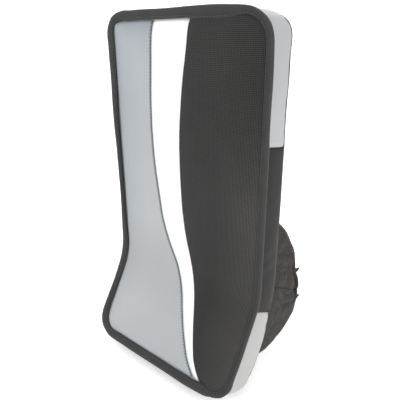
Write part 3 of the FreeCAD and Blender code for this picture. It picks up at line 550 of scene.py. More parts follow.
def mat_tape(name, base, high, uv=True, rib=0.0009, rough=0.5, along=0):
    """Folded binding tape: fine cross ribs, a soft sheen, paler worn crowns."""
    n = Nodes(name)
    if uv:
        um = n.add("ShaderNodeUVMap")
        um.uv_map = "UVMap"
        s = n.add("ShaderNodeSeparateXYZ")
        n.link(um.outputs[0], s.inputs[0])
        u, v = s.outputs[0], s.outputs[1]
    else:
        s = n.add("ShaderNodeSeparateXYZ")
        n.link(n.co.outputs["Object"], s.inputs[0])
        u, v = s.outputs[0], s.outputs[2]
    if along:
        u, v = v, u
    ribs = n.math("ABSOLUTE", n.math("SINE", n.math("MULTIPLY", u, math.pi / rib)))
    fibre = n.math("ABSOLUTE", n.math("SINE", n.math("MULTIPLY", v, math.pi / (rib * 1.7))))
    h = n.math("ADD", n.math("MULTIPLY", ribs, 0.75), n.math("MULTIPLY", fibre, 0.25))
    tone = n.noise(30.0, 4.0, 0.6)
    col = n.mix(n.math("MULTIPLY", n.math("MULTIPLY", h, tone), 1.1, clamp=True), base, high)
    bump = n.bump(h, 0.35, 0.00018)
    bump = n.bump(n.noise(70.0, 3.0, 0.6), 0.18, 0.0007, bump)
    n.set(Base_Color=col, Roughness=rough, Normal=bump)
    n.b.inputs["Sheen Weight"].default_value = 0.1
    n.b.inputs["Sheen Roughness"].default_value = 0.4
    n.b.inputs["Specular IOR Level"].default_value = 0.24
    return n.m


def mat_mesh_fabric(name, base, high, cell=0.0026):
    """Spacer mesh: rows of small open cells."""
    n = Nodes(name)
    mp = n.add("ShaderNodeMapping")
    mp.inputs["Scale"].default_value = (1, 1, 0.8)
    n.link(n.co.outputs["Object"], mp.inputs[0])
    v = n.add("ShaderNodeTexVoronoi", feature="F1", voronoi_dimensions="3D")
    v.inputs["Scale"].default_value = 1 / cell
    v.inputs["Randomness"].default_value = 0.25
    n.link(mp.outputs[0], v.inputs["Vector"])
    d = v.outputs["Distance"]
    hole = n.ramp(d, [(0.18, (0, 0, 0)), (0.42, (1, 1, 1))])
    col = n.mix(hole, tuple(c * 0.25 for c in base), high)
    col = n.mix(n.math("MULTIPLY", n.noise(18.0, 3.0), 0.6), col, base)
    n.set(Base_Color=col, Roughness=0.75, Normal=n.bump(hole, 0.6, 0.0005))
    n.b.inputs["Sheen Weight"].default_value = 0.08
    n.b.inputs["Specular IOR Level"].default_value = 0.2
    n.b.inputs["Specular Tint"].default_value = (1.0, 0.9, 0.84, 1)
    return n.m


def mat_leather(name, base, high, rough=0.5, grain=0.5):
    """Soft palm leather with a pebbled grain and rubbed high spots."""
    n = Nodes(name)
    d = n.voronoi(620.0)
    d2 = n.voronoi(260.0)
    h = n.math("ADD", n.math("MULTIPLY", d, 0.6), n.math("MULTIPLY", d2, 0.4))
    crease = n.noise(55.0, 6.0, 0.62)
    col = n.mix(n.ramp(crease, [(0.35, (0, 0, 0)), (0.75, (1, 1, 1))]), base, high)
    bump = n.bump(h, grain, 0.0003)
    bump = n.bump(crease, 0.3, 0.0009, bump)
    n.set(Base_Color=col, Roughness=n.math("ADD", n.math("MULTIPLY", crease, 0.2), rough - 0.1), Normal=bump)
    n.b.inputs["Specular IOR Level"].default_value = 0.4
    return n.m


def mat_thread(name, colour, high):
    """Twisted sewing thread."""
    n = Nodes(name)
    w = n.add("ShaderNodeTexWave", wave_type="BANDS", bands_direction="DIAGONAL")
    w.inputs["Scale"].default_value = 900.0
    n.link(n.co.outputs["Object"], w.inputs["Vector"])
    col = n.mix(w.outputs["Fac"], colour, high)
    n.set(Base_Color=col, Roughness=0.6, Normal=n.bump(w.outputs["Fac"], 0.4, 0.0001))
    n.b.inputs["Sheen Weight"].default_value = 0.08
    n.b.inputs["Specular IOR Level"].default_value = 0.25
    return n.m


def mat_metal(name, base, rough=0.3, brushed=True):
    n = Nodes(name)
    mp = n.add("ShaderNodeMapping")
    mp.inputs["Scale"].default_value = (1, 1, 12)
    n.link(n.co.outputs["Object"], mp.inputs[0])
    g = n.noise(900.0, 3.0, 0.7, mp.outputs[0])
    col = n.mix(g, tuple(c * 0.8 for c in base), base)
    n.set(Base_Color=col, Metallic=1.0, Roughness=n.math("ADD", n.math("MULTIPLY", g, 0.18), rough - 0.05), Normal=n.bump(g, 0.08, 0.0001))
    return n.m


def mat_plastic(name, base, rough=0.4):
    n = Nodes(name)
    g = n.noise(700.0, 3.0, 0.6)
    col = n.mix(n.noise(25.0, 3.0), tuple(c * 0.85 for c in base), base)
    n.set(Base_Color=col, Roughness=n.math("ADD", n.math("MULTIPLY", g, 0.15), rough - 0.05), Normal=n.bump(g, 0.15, 0.00015))
    return n.m


def mat_hook(name, base, high, scale=900.0):
    """Hook or loop pile: a dense field of small tufts."""
    n = Nodes(name)
    d = n.voronoi(scale)
    f = n.noise(scale * 1.4, 3.0, 0.7)
    h = n.math("SUBTRACT", f, n.math("MULTIPLY", d, 0.8))
    col = n.mix(n.math("MULTIPLY", f, 0.9), base, high)
    n.set(Base_Color=col, Roughness=0.9, Normal=n.bump(h, 0.9, 0.0006))
    n.b.inputs["Sheen Weight"].default_value = 0.5
    return n.m


M = {
    "grey": mat_vinyl("vinyl_silver_grey", (0.390, 0.402, 0.412), (0.351, 0.367, 0.383), 0.40, 0.2, (0.43, 0.44, 0.448), "edge"),
    "white": mat_vinyl("vinyl_white", (0.93, 0.93, 0.93), (0.90, 0.905, 0.91), 0.38, 0.2, None, "seam"),
    # the black panel gets painted light towards its right rim
    "black": mat_woven("ballistic_nylon_black", (0.0055, 0.0054, 0.0053), (0.038, 0.0372, 0.0365), 0.0015, 0.62, 0.08, True, 0.5, painted_rim_light=(0.045, 0.096, 0.20, 0.31, 1.0)),
    "tape": mat_tape("binding_tape", (0.0205, 0.0203, 0.0200), (0.051, 0.0505, 0.0495), rough=0.62),
    "tape_wide": mat_tape("binding_tape_plain", (0.020, 0.020, 0.0198), (0.052, 0.052, 0.051), False),
    "gusset_grey": mat_vinyl("gusset_vinyl_grey", (0.345, 0.349, 0.356), (0.310, 0.313, 0.320), 0.46, 0.3),
    # painted light: a brighter copy of the grey gusset vinyl for the bottom band, standing in for light that reaches it
    # from below
    "gusset_grey_painted_lit": mat_vinyl("gusset_vinyl_grey_painted_light", (0.378, 0.378, 0.374), (0.340, 0.340, 0.336), 0.46, 0.3),
    "gusset_black": mat_vinyl("gusset_vinyl_black", (0.0096, 0.0086, 0.0081), (0.0073, 0.0066, 0.0062), 0.6, 0.4, spec=0.26, tinted=(1.0, 0.92, 0.87)),
    "back": mat_woven("back_nylon", (0.014, 0.014, 0.0145), (0.04, 0.04, 0.041), 0.0013, 0.65, 0.15, True, 0.5),
    "glove": mat_woven("glove_nylon", (0.014, 0.0135, 0.014), (0.042, 0.041, 0.0415), 0.0009, 0.66, 0.2, False, 0.4),
    "guard": mat_woven("guard_nylon", (0.0081, 0.0072, 0.0068), (0.0235, 0.0212, 0.0202), 0.0010, 0.66, 0.06, True, 0.4, spec=0.2, tint=(1.0, 0.88, 0.80)),
    # painted shade: a darker copy of the guard nylon, used for the seam welt between skin and mesh so it doesn't show
    # as a light line
    "guard_welt_painted_shade": mat_woven("guard_nylon_shaded_copy", (0.0072, 0.0065, 0.0062), (0.0208, 0.0189, 0.0181), 0.0008, 0.66, 0.06, False, 0.4, spec=0.2, tint=(1.0, 0.88, 0.80)),
    "mesh": mat_mesh_fabric("guard_mesh_fabric", (0.0080, 0.0072, 0.0068), (0.0268, 0.0244, 0.0232)),
    "leather": mat_leather("palm_leather", (0.02, 0.02, 0.0205), (0.062, 0.061, 0.06)),
    "lining": mat_mesh_fabric("lining_mesh", (0.04, 0.04, 0.042), (0.10, 0.10, 0.104), 0.0018),
    "thread_grey": mat_thread("thread_grey", (0.05, 0.055, 0.06), (0.16, 0.17, 0.18)),
    "thread_dark": mat_thread("thread_dark", (0.03, 0.03, 0.03), (0.10, 0.10, 0.10)),
    "thread_black": mat_thread("thread_black", (0.010, 0.010, 0.010), (0.036, 0.036, 0.036)),
    "thread_pale": mat_thread("thread_pale", (0.10, 0.10, 0.10), (0.24, 0.24, 0.24)),
    "webbing": mat_tape("strap_webbing", (0.016, 0.016, 0.0165), (0.05, 0.05, 0.0515), False, 0.0016, 0.6),
    "hook": mat_hook("hook_pile", (0.014, 0.014, 0.0145), (0.05, 0.05, 0.0515)),
    "loop": mat_hook("loop_pile", (0.02, 0.02, 0.0205), (0.075, 0.075, 0.0775), 650.0),
    "steel": mat_metal("brushed_steel", (0.40, 0.405, 0.41), 0.34),
    "ring": mat_plastic("ring_black", (0.02, 0.02, 0.021), 0.3),
    "plate": mat_plastic("plate_plastic", (0.025, 0.025, 0.0265), 0.5),
    "foam": mat_hook("closed_cell_foam", (0.3, 0.3, 0.29), (0.42, 0.42, 0.41), 1200.0),
    "lace": mat_tape("lace_cord", (0.012, 0.012, 0.012), (0.045, 0.045, 0.045), False, 0.0012, 0.6),
}


# ------------------------------------------------------------------ camera, floor, light
def v3(*a):
    return Vector(a)


az, el, ro = 0.69851578, 0.38036541, -0.0042253
r = v3(math.cos(az), math.sin(az), 0)
f = v3(-math.sin(az), math.cos(az), 0)
up = v3(0, 0, 1)
c = math.cos(el) * f - math.sin(el) * up
u = math.sin(el) * f + math.cos(el) * up
r2 = math.cos(ro) * r + math.sin(ro) * u
u2 = -math.sin(ro) * r + math.cos(ro) * u
cam = bpy.data.cameras.new("camera")
cam.sensor_width = 36.0
cam.lens = 433.4 / 400 * 36.0
cam.shift_x = -1.1 / 400
cam.shift_y = 11.0 / 400
cam.clip_start = 0.01
cam.clip_end = 60
cam_o = bpy.data.objects.new("camera", cam)
mw = Matrix.Identity(4)
for i in range(3):
    mw[i][0], mw[i][1], mw[i][2] = r2[i], u2[i], -c[i]
mw.translation = v3(0.2916, -0.3778, 0.1799)
cam_o.matrix_world = mw
bpy.context.scene.collection.objects.link(cam_o)
bpy.context.scene.camera = cam_o

FLOOR = cad_box[0][2] - 0.0012 if cad_box[0][2] < 0 else -0.178


def studio():
    """A pale floor that curves up into a pale backdrop behind the object."""
    n = Nodes("studio_paper")
    g = n.noise(3.0, 2.0)
    n.set(Base_Color=n.mix(g, (0.94, 0.94, 0.94), (0.96, 0.96, 0.96)), Roughness=0.9)
    n.b.inputs["Emission Color"].default_value = (1, 1, 1, 1)
    n.b.inputs["Emission Strength"].default_value = 0.28
    back = Vector((c.x, c.y, 0)).normalized()
    side = Vector((back.y, -back.x, 0))
    prof = [(-7.0, 0.0), (-2.6, 0.0)]
    prof += [(x, 0.0) for x in (-1.0, 0.0, 0.6, 1.2)]
    for k in range(1, 13):
        a = k / 12 * math.pi / 2
        prof.append((1.2 + 0.9 * math.sin(a), 0.9 - 0.9 * math.cos(a)))
    prof.append((2.1, 3.4))
    verts, faces = [], []
    for d, h in prof:
        for w in (-7.0, 7.0):
            p = back * d + side * w
            verts.append((p.x, p.y, FLOOR + h))
    for i in range(len(prof) - 1):
        faces.append((2 * i, 2 * i + 1, 2 * i + 3, 2 * i + 2))
    o = add_object("studio_backdrop", verts, faces, n.m)
    return o


studio()


def area(name, pos, aim, size, power, color=(1, 1, 1)):
    l = bpy.data.lights.new(name, "AREA")
    l.shape = "RECTANGLE"
    l.size, l.size_y = size
    l.energy = power
    l.color = color
    o = bpy.data.objects.new(name, l)
    d = (Vector(aim) - Vector(pos)).normalized()
    o.rotation_euler = d.to_track_quat("-Z", "Y").to_euler()
    o.location = pos
    bpy.context.scene.collection.objects.link(o)
    return o


area("light_top", (0.3, -0.5, 1.5), (0, 0, 0), (1.6, 1.6), 13.5)
area("light_left", (-1.3, -1.0, 0.7), (0, 0, 0), (1.2, 1.6), 7, (0.96, 0.98, 1.0))
area("light_back", (-0.9, 1.5, 0.9), (0, 0, 0), (1.2, 1.2), 7)
area("light_right", (1.5, -0.3, 0.55), (0, 0, -0.03), (1.0, 1.4), 13)
world = bpy.data.worlds.new("studio")
world.use_nodes = True
world.node_tree.nodes["Background"].inputs[0].default_value = (1, 1, 1, 1)
world.node_tree.nodes["Background"].inputs[1].default_value = 0.55
bpy.context.scene.world = world
bpy.context.scene.view_settings.view_transform = "Standard"
bpy.context.scene.view_settings.look = "None"

# ------------------------------------------------------------------ seam lines on the face (x, s)
SEAM_L = [(373.3, -33.4), (363.3, -34.4), (337.3, -35.7), (310.3, -37.0), (285.3, -38.1), (260.3, -37.8), (243.3, -36.9), (219.3, -34.7), (197.3, -31.4), (172.8, -28.0), (152.3, -22.1), (135.3, -15.4), (127.9, -11.4), (113.3, -5.3), (100.7, 0.7), (84.1, 8.9), (64.9, 17.1), (51, 24.2), (35.6, 32.8), (22, 42.2), (11.7, 52.6)]
SEAM_R = [(373.3, 12.7), (367.3, 11.8), (349.8, 10.4), (327.3, 6.8), (303.8, 3.6), (284.3, 1.6), (263.3, -0.1), (245.3, -0.4), (226.3, -0.1), (201.9, 0.9), (179.3, 2.5), (153.9, 6.5), (135.8, 10.9), (115.6, 15.3), (99.3, 20.4), (82.1, 26.9), (61.1, 33.9), (42.6, 40.9), (25.3, 48.9), (15.7, 56.5), (11.5, 60.6)]
# smoothed so that no measuring step shows as a kink
_ss = np.arange(0.0, 386.0, 3.0)


def _soft(points):
    y = spline(points, _ss)
    for _ in range(6):
        y[1:-1] = 0.25 * y[:-2] + 0.5 * y[1:-1] + 0.25 * y[2:]
    return y


_sl, _sr = _soft(SEAM_L), _soft(SEAM_R)
_sr = np.maximum(_sr, _sl + 0.6)


def seam_l(s):
    return np.interp(s, _ss, _sl)


def seam_r(s):
    return np.interp(s, _ss, _sr)


R_TL, R_TR, R_BL, R_BR = 17.0, 30.0, 26.0, 32.0


def xlim(s, e, r_low=RC, r_top=RC):
    """Half width of the rounded outline inset by e, at arc length s, with its own radius at the lower and upper corner."""
    s = np.asarray(s, float)
    out = np.full_like(s, HW - e)
    for rc, d in ((r_low, r_low - s), (r_top, s - (L - r_top))):
        rr = rc - e
        d = np.clip(d, 0, rr)
        out = np.minimum(out, HW - rc + np.sqrt(np.maximum(rr * rr - d * d, 0.0)))
    return out


def edge_dist(x, s):
    """Distance in from the outline of the rounded rectangle."""
    ax = np.abs(x)
    rc = np.where(s > L / 2, np.where(x < 0, R_TL, R_TR), np.where(x < 0, R_BL, R_BR))
    dx = ax - (HW - rc)
    ds = np.maximum(rc - s, s - (L - rc))
    corner = rc - np.hypot(np.maximum(dx, 0), np.maximum(ds, 0))
    return np.where((dx > 0) & (ds > 0), corner, np.minimum(rc - dx, rc - ds))


def curve_dist(fn, x, s):
    """Signed distance from the curve x = fn(s), positive on its right."""
    g = (fn(s + 1.5) - fn(s - 1.5)) / 3.0
    return (x - fn(s)) / np.sqrt(1 + g * g)


def face_height(x, s):
    """How far the padded face stands in front of the board's front plane (mm)."""
    d = edge_dist(x, s) - 8.5
    # taller at the middle of the left side, flatter in the lower part
    tall = 3.4 + 1.3 * np.exp(-(((s - 250) / 120.0) ** 2)) - 0.8 * np.exp(-(((s - 40) / 60.0) ** 2))
    dl, dr = curve_dist(seam_l, x, s), curve_dist(seam_r, x, s)
    nylon = np.clip(dr / 6.0, 0, 1)
    h = tall * (1 - np.exp(-np.maximum(d, 0) / 7.5)) - (1.1 - 1.0 * nylon) * np.exp(-np.maximum(d, 0) / 2.0)
    h = h + nylon * (1.4 * np.exp(-(((d + 0.5) / 3.5) ** 2)) + 0.5 * np.exp(-np.maximum(d, 0) / 6.0))
    for dd in (dl, dr):
        h -= 1.25 * np.exp(-np.abs(dd) / 1.6) + 0.5 * np.exp(-((dd / 9.0) ** 2))
    # small puckers that run out from the stitching
    p = np.stack([x * 0 + 0.0, s * 0.001, x * 0.0], -1)
    pl = value_noise(np.stack([s * 0.001, dl * 0.0001, x * 0], -1), 0.0052, 3) * np.exp(-np.abs(dl) / 5.5)
    pr = value_noise(np.stack([s * 0.001, dr * 0.0001, x * 0], -1), 0.0052, 8) * np.exp(-np.abs(dr) / 5.5)
    h += 0.16 * (pl + pr)
    # and out from the binding
    around = np.where(np.abs(x) > HW - 26, s, x) * 0.001
    pb = value_noise(np.stack([around, x * 0, s * 0], -1), 0.009, 5) * np.exp(-np.maximum(d, 0) / 7.0)
    h += 0.22 * pb
    q = np.stack([x * 0.001, s * 0.001, x * 0], -1)
    h += 0.28 * value_noise(q, 0.065, 11) + 0.10 * value_noise(q, 0.028, 12)
    return h


def s_rows(s0, s1, step):
    """Rows along the face, closer together near its two ends, where the outline turns."""
    s = [s0]
    while s[-1] < s1 - 1e-6:
        a = s[-1]
        end = min(a - s0, s1 - a)
        k = 0.35 + 0.65 * min(1.0, end / 18.0)
        s.append(min(s1, a + step * k))
    if len(s) > 2 and s[-1] - s[-2] < 0.3 * step * 0.35:
        s.pop(-2)
    return np.array(s)


def face_panel(name, left, right, material, nu, edge_in=5.0):
    sv = s_rows(edge_in + 0.02, L - edge_in - 0.02, 2.3)
    k = np.linspace(0, 1, nu)
    k = 0.5 - 0.5 * np.cos(k * math.pi) * (0.6 + 0.4 * np.abs(np.cos(k * math.pi)))
    k = (k - k[0]) / (k[-1] - k[0])
    S = np.repeat(sv[None, :], nu, 0)
    lo, hi = left(sv), right(sv)
    X = lo[None, :] + (hi - lo)[None, :] * k[:, None]
    h = face_height(X, S)
    top = bend(X, S, -h)
    bottom = bend(X, S, np.maximum(-h + 1.3, 0.9))
    uv = np.stack([X * 0.001, S * 0.001], -1)
    o = slab(name, top, bottom, material, uv)
    # distances to the left seam and in from the outline, which the vinyl materials use to place painted shade
    dl = np.abs(curve_dist(seam_l, X, S)) * 0.001
    de = np.maximum(edge_dist(X, S) - 9.0, 0) * 0.001
    marks = np.stack([dl, de], -1).reshape(-1, 2)
    add_marks(o, np.concatenate([marks, marks]))
    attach(o, "root")
    return o


p_grey = face_panel("front_panel_grey", lambda s: -xlim(s, 5, R_BL, R_TL), lambda s: seam_l(s) - 0.12, M["grey"], 64)
p_white = face_panel("front_panel_white", lambda s: seam_l(s) + 0.12, lambda s: seam_r(s) - 0.12, M["white"], 40)
p_black = face_panel("front_panel_black", lambda s: seam_r(s) + 0.12, lambda s: xlim(s, 5, R_BR, R_TR), M["black"], 84)
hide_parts("face_panel_grey")
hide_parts("face_panel_white")
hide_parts("face_panel_black")


def on_face(x, s, lift=0.0):
    """Point on the padded face and its outward normal."""
    e = 0.6
    P = bend(x, s, -face_height(x, s) - lift)
    a = bend(x + e, s, -face_height(x + e, s)) - bend(x - e, s, -face_height(x - e, s))
    b = bend(x, s + e, -face_height(x, s + e)) - bend(x, s - e, -face_height(x, s - e))
    n = np.cross(a, b)
    n /= np.linalg.norm(n, axis=-1)[..., None]
    return P, n


def face_stitch(name, fn, offset, material, lo, hi, **kw):
    s = np.arange(lo, hi, 1.0)
    g = (fn(s + 1.5) - fn(s - 1.5)) / 3.0
    nx, ns = 1 / np.sqrt(1 + g * g), -g / np.sqrt(1 + g * g)
    P, n = on_face(fn(s) + offset * nx, s + offset * ns)
    o = stitches(name, P, n, material, **kw)
    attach(o, "root")
    return o


face_stitch("stitch_seam_grey", seam_l, -1.5, M["thread_grey"], 12, 371, length=1.9, gap=1.3, radius=0.34)
face_stitch("stitch_seam_black", seam_r, 2.0, M["thread_black"], 13, 370, length=2.6, gap=0.9, radius=0.26)

# ------------------------------------------------------------------ outline path
def outline(step=2.6, corner=4.5):
    """Points (x, s) round the outline, anticlockwise seen from the front, with inward unit normals and distance along."""
    pts, nrm = [], []
    q = HW - RC

    def side(x0, s0, x1, s1, n):
        ln = math.hypot(x1 - x0, s1 - s0)
        k = int(ln / step)
        for i in range(k):
            w = i / k
            pts.append((x0 + (x1 - x0) * w, s0 + (s1 - s0) * w))
            nrm.append(n)

    def arc(cx, cs, a0):
        k = int(90 / corner)
        for i in range(k):
            a = math.radians(a0 + 90.0 * i / k)
            pts.append((cx + RC * math.cos(a), cs + RC * math.sin(a)))
            nrm.append((-math.cos(a), -math.sin(a)))

    side(HW, RC, HW, L - RC, (-1, 0))
    arc(q, L - RC, 0)
    side(q, L, -q, L, (0, -1))
    arc(-q, L - RC, 90)
    side(-HW, L - RC, -HW, RC, (1, 0))
    arc(-q, RC, 180)
    side(-q, 0, q, 0, (0, 1))
    arc(q, RC, 270)
    p, n = np.array(pts), np.array(nrm, float)
    d = np.concatenate([[0], np.cumsum(np.linalg.norm(np.diff(p, axis=0), axis=1))])
    return p, n, d


OP, ON, OD = outline()
TOTAL = OD[-1] + np.linalg.norm(OP[0] - OP[-1])
# how far the real rim stands out from the plain rounded rectangle, and how wide the binding is, every few centimetres round it (mm)
RIM_D = [0.0, 13.0, 26.0, 39.0, 52.0, 65.0, 78.0, 91.0, 104.0, 117.0, 130.0, 143.0, 156.0, 169.0, 182.0, 195.0, 208.0, 221.0, 234.0, 247.0, 260.0, 273.0, 286.0, 299.0, 312.0, 325.0, 338.0, 351.0, 364.0, 377.0, 390.0, 403.0, 416.0, 429.0, 442.0, 455.0, 468.0, 481.0, 494.0, 507.0, 520.0, 533.0, 546.0, 559.0, 572.0, 585.0, 598.0, 611.0, 624.0, 637.0, 650.0, 663.0, 676.0, 689.0, 702.0, 715.0, 728.0, 741.0, 754.0, 767.0, 780.0, 793.0, 806.0, 819.0, 832.0, 845.0, 858.0, 871.0, 884.0, 897.0, 910.0, 923.0, 936.0, 949.0, 962.0, 975.0, 988.0, 1001.0, 1014.0, 1027.0, 1040.0, 1053.0, 1066.0, 1079.0, 1092.0, 1105.0]
RIM_OUT = [-2.3, -1.4, -1.1, -1.1, -0.9, -0.8, 0.0, 0.0, 0.0, 0.0, 0.0, 0.0, 0.0, 0.0, 0.0, 0.0, 0.0, 0.0, 0.0, -0.5, -0.5, -0.3, 0.1, 0.2, -0.2, -0.7, -0.3, -1.1, -1.0, -0.0, 0.7, 1.1, 1.0, 0.8, 0.5, 0.2, 0.2, 0.4, 0.4, 0.1, 0.9, 3.5, 2.9, 0.9, 1.1, 0.6, 0.6, 0.9, 1.4, 1.3, 0.7, -0.0, -0.6, -0.8, -0.9, -1.3, -1.3, -1.0, -0.3, 0.2, 0.8, 1.6, 1.3, 0.6, -0.0, -0.1, 0.4, 1.0, 1.3, 1.5, -0.5, -0.9, -0.5, -0.3, -0.0, 0.1, -0.0, 0.0, 0.1, 0.3, 0.6, 0.3, -0.4, -1.9, 0.0, 0.0]
RIM_WIDTH = [6.3, 6.3, 6.3, 6.3, 6.3, 6.3, 6.3, 6.3, 6.3, 6.3, 6.3, 6.3, 6.3, 6.3, 6.3, 6.3, 6.3, 6.3, 6.3, 6.3, 6.3, 6.3, 6.3, 6.3, 6.3, 6.3, 6.3, 6.8, 8.0, 9.6, 11.0, 11.0, 11.0, 8.9, 9.3, 9.3, 9.2, 8.8, 8.9, 9.5, 8.7, 6.1, 9.6, 11.6, 11.0, 10.2, 9.7, 8.9, 8.2, 7.7, 7.4, 7.7, 8.1, 7.9, 8.0, 8.0, 8.1, 8.0, 8.1, 8.3, 8.7, 9.7, 10.8, 11.2, 11.3, 10.9, 9.8, 9.0, 10.8, 11.5, 10.9, 10.9, 11.4, 11.3, 11.1, 10.9, 10.5, 10.5, 10.3, 10.1, 10.1, 10.4, 12.0, 8.6, 7.4, 6.7]


def rim(table, d):
    return np.interp(np.mod(d, TOTAL), list(RIM_D) + [TOTAL], list(table) + [table[0]])


def rim_shape(E, d, T=None):
    """Carries (0..10) across the binding to the real rim at that distance round it."""
    o, w = rim(RIM_OUT, d), rim(RIM_WIDTH, d)
    k = np.clip(E / 10.0, -0.2, 1.0)
    scaled = -o + k * (w + o)
    if T is None:
        return scaled
    side = np.clip((T - 0.6) / 0.6, 0, 1)  # the part folded round the side keeps its own size
    return scaled * (1 - side) + (E - o) * side


def sweep_outline(name, profile, material, wave=None, closed=True, sel=None):
    """A closed cross-section of (e, t) points carried round the outline."""
    p, n, d = (OP, ON, OD) if sel is None else (OP[sel], ON[sel], OD[sel])
    prof = np.asarray(profile, float)
    E = np.repeat(prof[None, :, 0], len(p), 0)
    T = np.repeat(prof[None, :, 1], len(p), 0)
    if wave is not None:
        E, T = wave(E, T, d)
    X = p[:, None, 0] + E * n[:, None, 0]
    S = p[:, None, 1] + E * n[:, None, 1]
    g = np.concatenate([[0], np.cumsum(np.linalg.norm(np.diff(prof, axis=0), axis=1))])
    uv = np.stack([np.repeat(d[:, None], len(prof), 1) * 0.001, np.repeat(g[None, :], len(d), 0) * 0.001], -1)
    o = tube(name, bend(X, S, T), material, closed=closed, uv=uv)
    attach(o, "root")
    return o


def round_profile(points, n=44):
    """Closed smooth loop through (e, t) points."""
    p = np.asarray(points, float)
    k = len(p)
    out = []
    per = max(2, n // k)
    for i in range(k):
        p0, p1, p2, p3 = p[i - 1], p[i], p[(i + 1) % k], p[(i + 2) % k]
        for j in range(per):
            w = j / per
            out.append(0.5 * ((2 * p1) + (-p0 + p2) * w + (2 * p0 - 5 * p1 + 4 * p2 - p3) * w**2 + (-p0 + 3 * p1 - 3 * p2 + p3) * w**3))
    return np.array(out)


BIND = [(10.0, -0.9), (9.5, -2.1), (7.6, -2.9), (4.8, -3.1), (2.4, -2.6), (0.8, -1.5), (0.05, -0.1), (0.1, 1.3), (0.7, 2.5), (1.9, 3.1),
        (3.0, 3.0), (3.4, 2.2), (3.4, 1.2), (5.5, 0.6), (9.3, 0.3)]


def nylon_side(d):
    """1 along the nylon side of the outline, 0 along the vinyl side."""
    x, s = np.interp(np.mod(d, TOTAL), OD, OP[:, 0]), np.interp(np.mod(d, TOTAL), OD, OP[:, 1])
    return np.clip((x - seam_r(s)) / 8.0, 0, 1)


def bind_wave(E, T, d):
    q = np.stack([d * 0.001, d * 0, d * 0], -1)
    w1 = value_noise(q, 0.021, 21)[:, None]
    w2 = value_noise(q, 0.008, 22)[:, None]
    w3 = value_noise(q, 0.05, 23)[:, None]
    front = np.clip((2.0 - T) / 4.0, 0, 1)
    inner = np.clip((E - 5.0) / 5.0, 0, 1)
    T = T - front * (0.22 * w1 + 0.12 * w2)
    T = T * (1 - 0.16 * nylon_side(d)[:, None] * inner * front)
    E = E + inner * (0.35 * w1 + 0.2 * w2) + (1 - inner) * 0.2 * w3 * np.clip((6.0 - E) / 6.0, 0, 1)
    return rim_shape(E, d[:, None], T), T


binding = sweep_outline("edge_binding_tape", round_profile(BIND), M["tape"], bind_wave)
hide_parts("edge_binding")


def outline_line(e, t):
    e = rim_shape(np.full(len(OP), float(e)), OD)
    return bend(OP[:, 0] + e * ON[:, 0], OP[:, 1] + e * ON[:, 1], np.full(len(OP), t))


def outline_stitch(name, e, t, material, nt=-1.0, ne=0.0, **kw):
    P = outline_line(e, t)
    e2 = rim_shape(np.full(len(OP), float(e)), OD) + ne
    Q = bend(OP[:, 0] + e2 * ON[:, 0], OP[:, 1] + e2 * ON[:, 1], np.full(len(OP), t + nt))
    n = Q - P
    n /= np.linalg.norm(n, axis=1)[:, None]
    P, n = np.concatenate([P, P[:1]]), np.concatenate([n, n[:1]])
    o = stitches(name, P, n, material, **kw)
    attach(o, "root")
    return o


outline_stitch("stitch_binding_front", 8.0, -2.85, M["thread_dark"], length=2.6, gap=1.2, radius=0.3)

# ------------------------------------------------------------------ gusset round the rim
def rear_lift(s):
    """The rear edge of the rim stands a little further back in the lower part, where the guard pulls on it (mm)."""
    a, b = np.clip((108.0 - s) / 38.0, 0, 1), np.clip((s - 8.0) / 34.0, 0, 1)
    return LIFT_T * a * a * (3 - 2 * a) * b * b * (3 - 2 * b)


LIFT_T, LIFT_E = 3.4, 0.8


def rear_corner(d):
    """The rear edge is squarer at the top corner on the thumb side (mm outwards)."""
    mid = (L - 2 * RC) + 0.25 * math.pi * RC
    return 2.2 * np.exp(-(((np.mod(d, TOTAL) - mid + 8.0) / 18.0) ** 2))




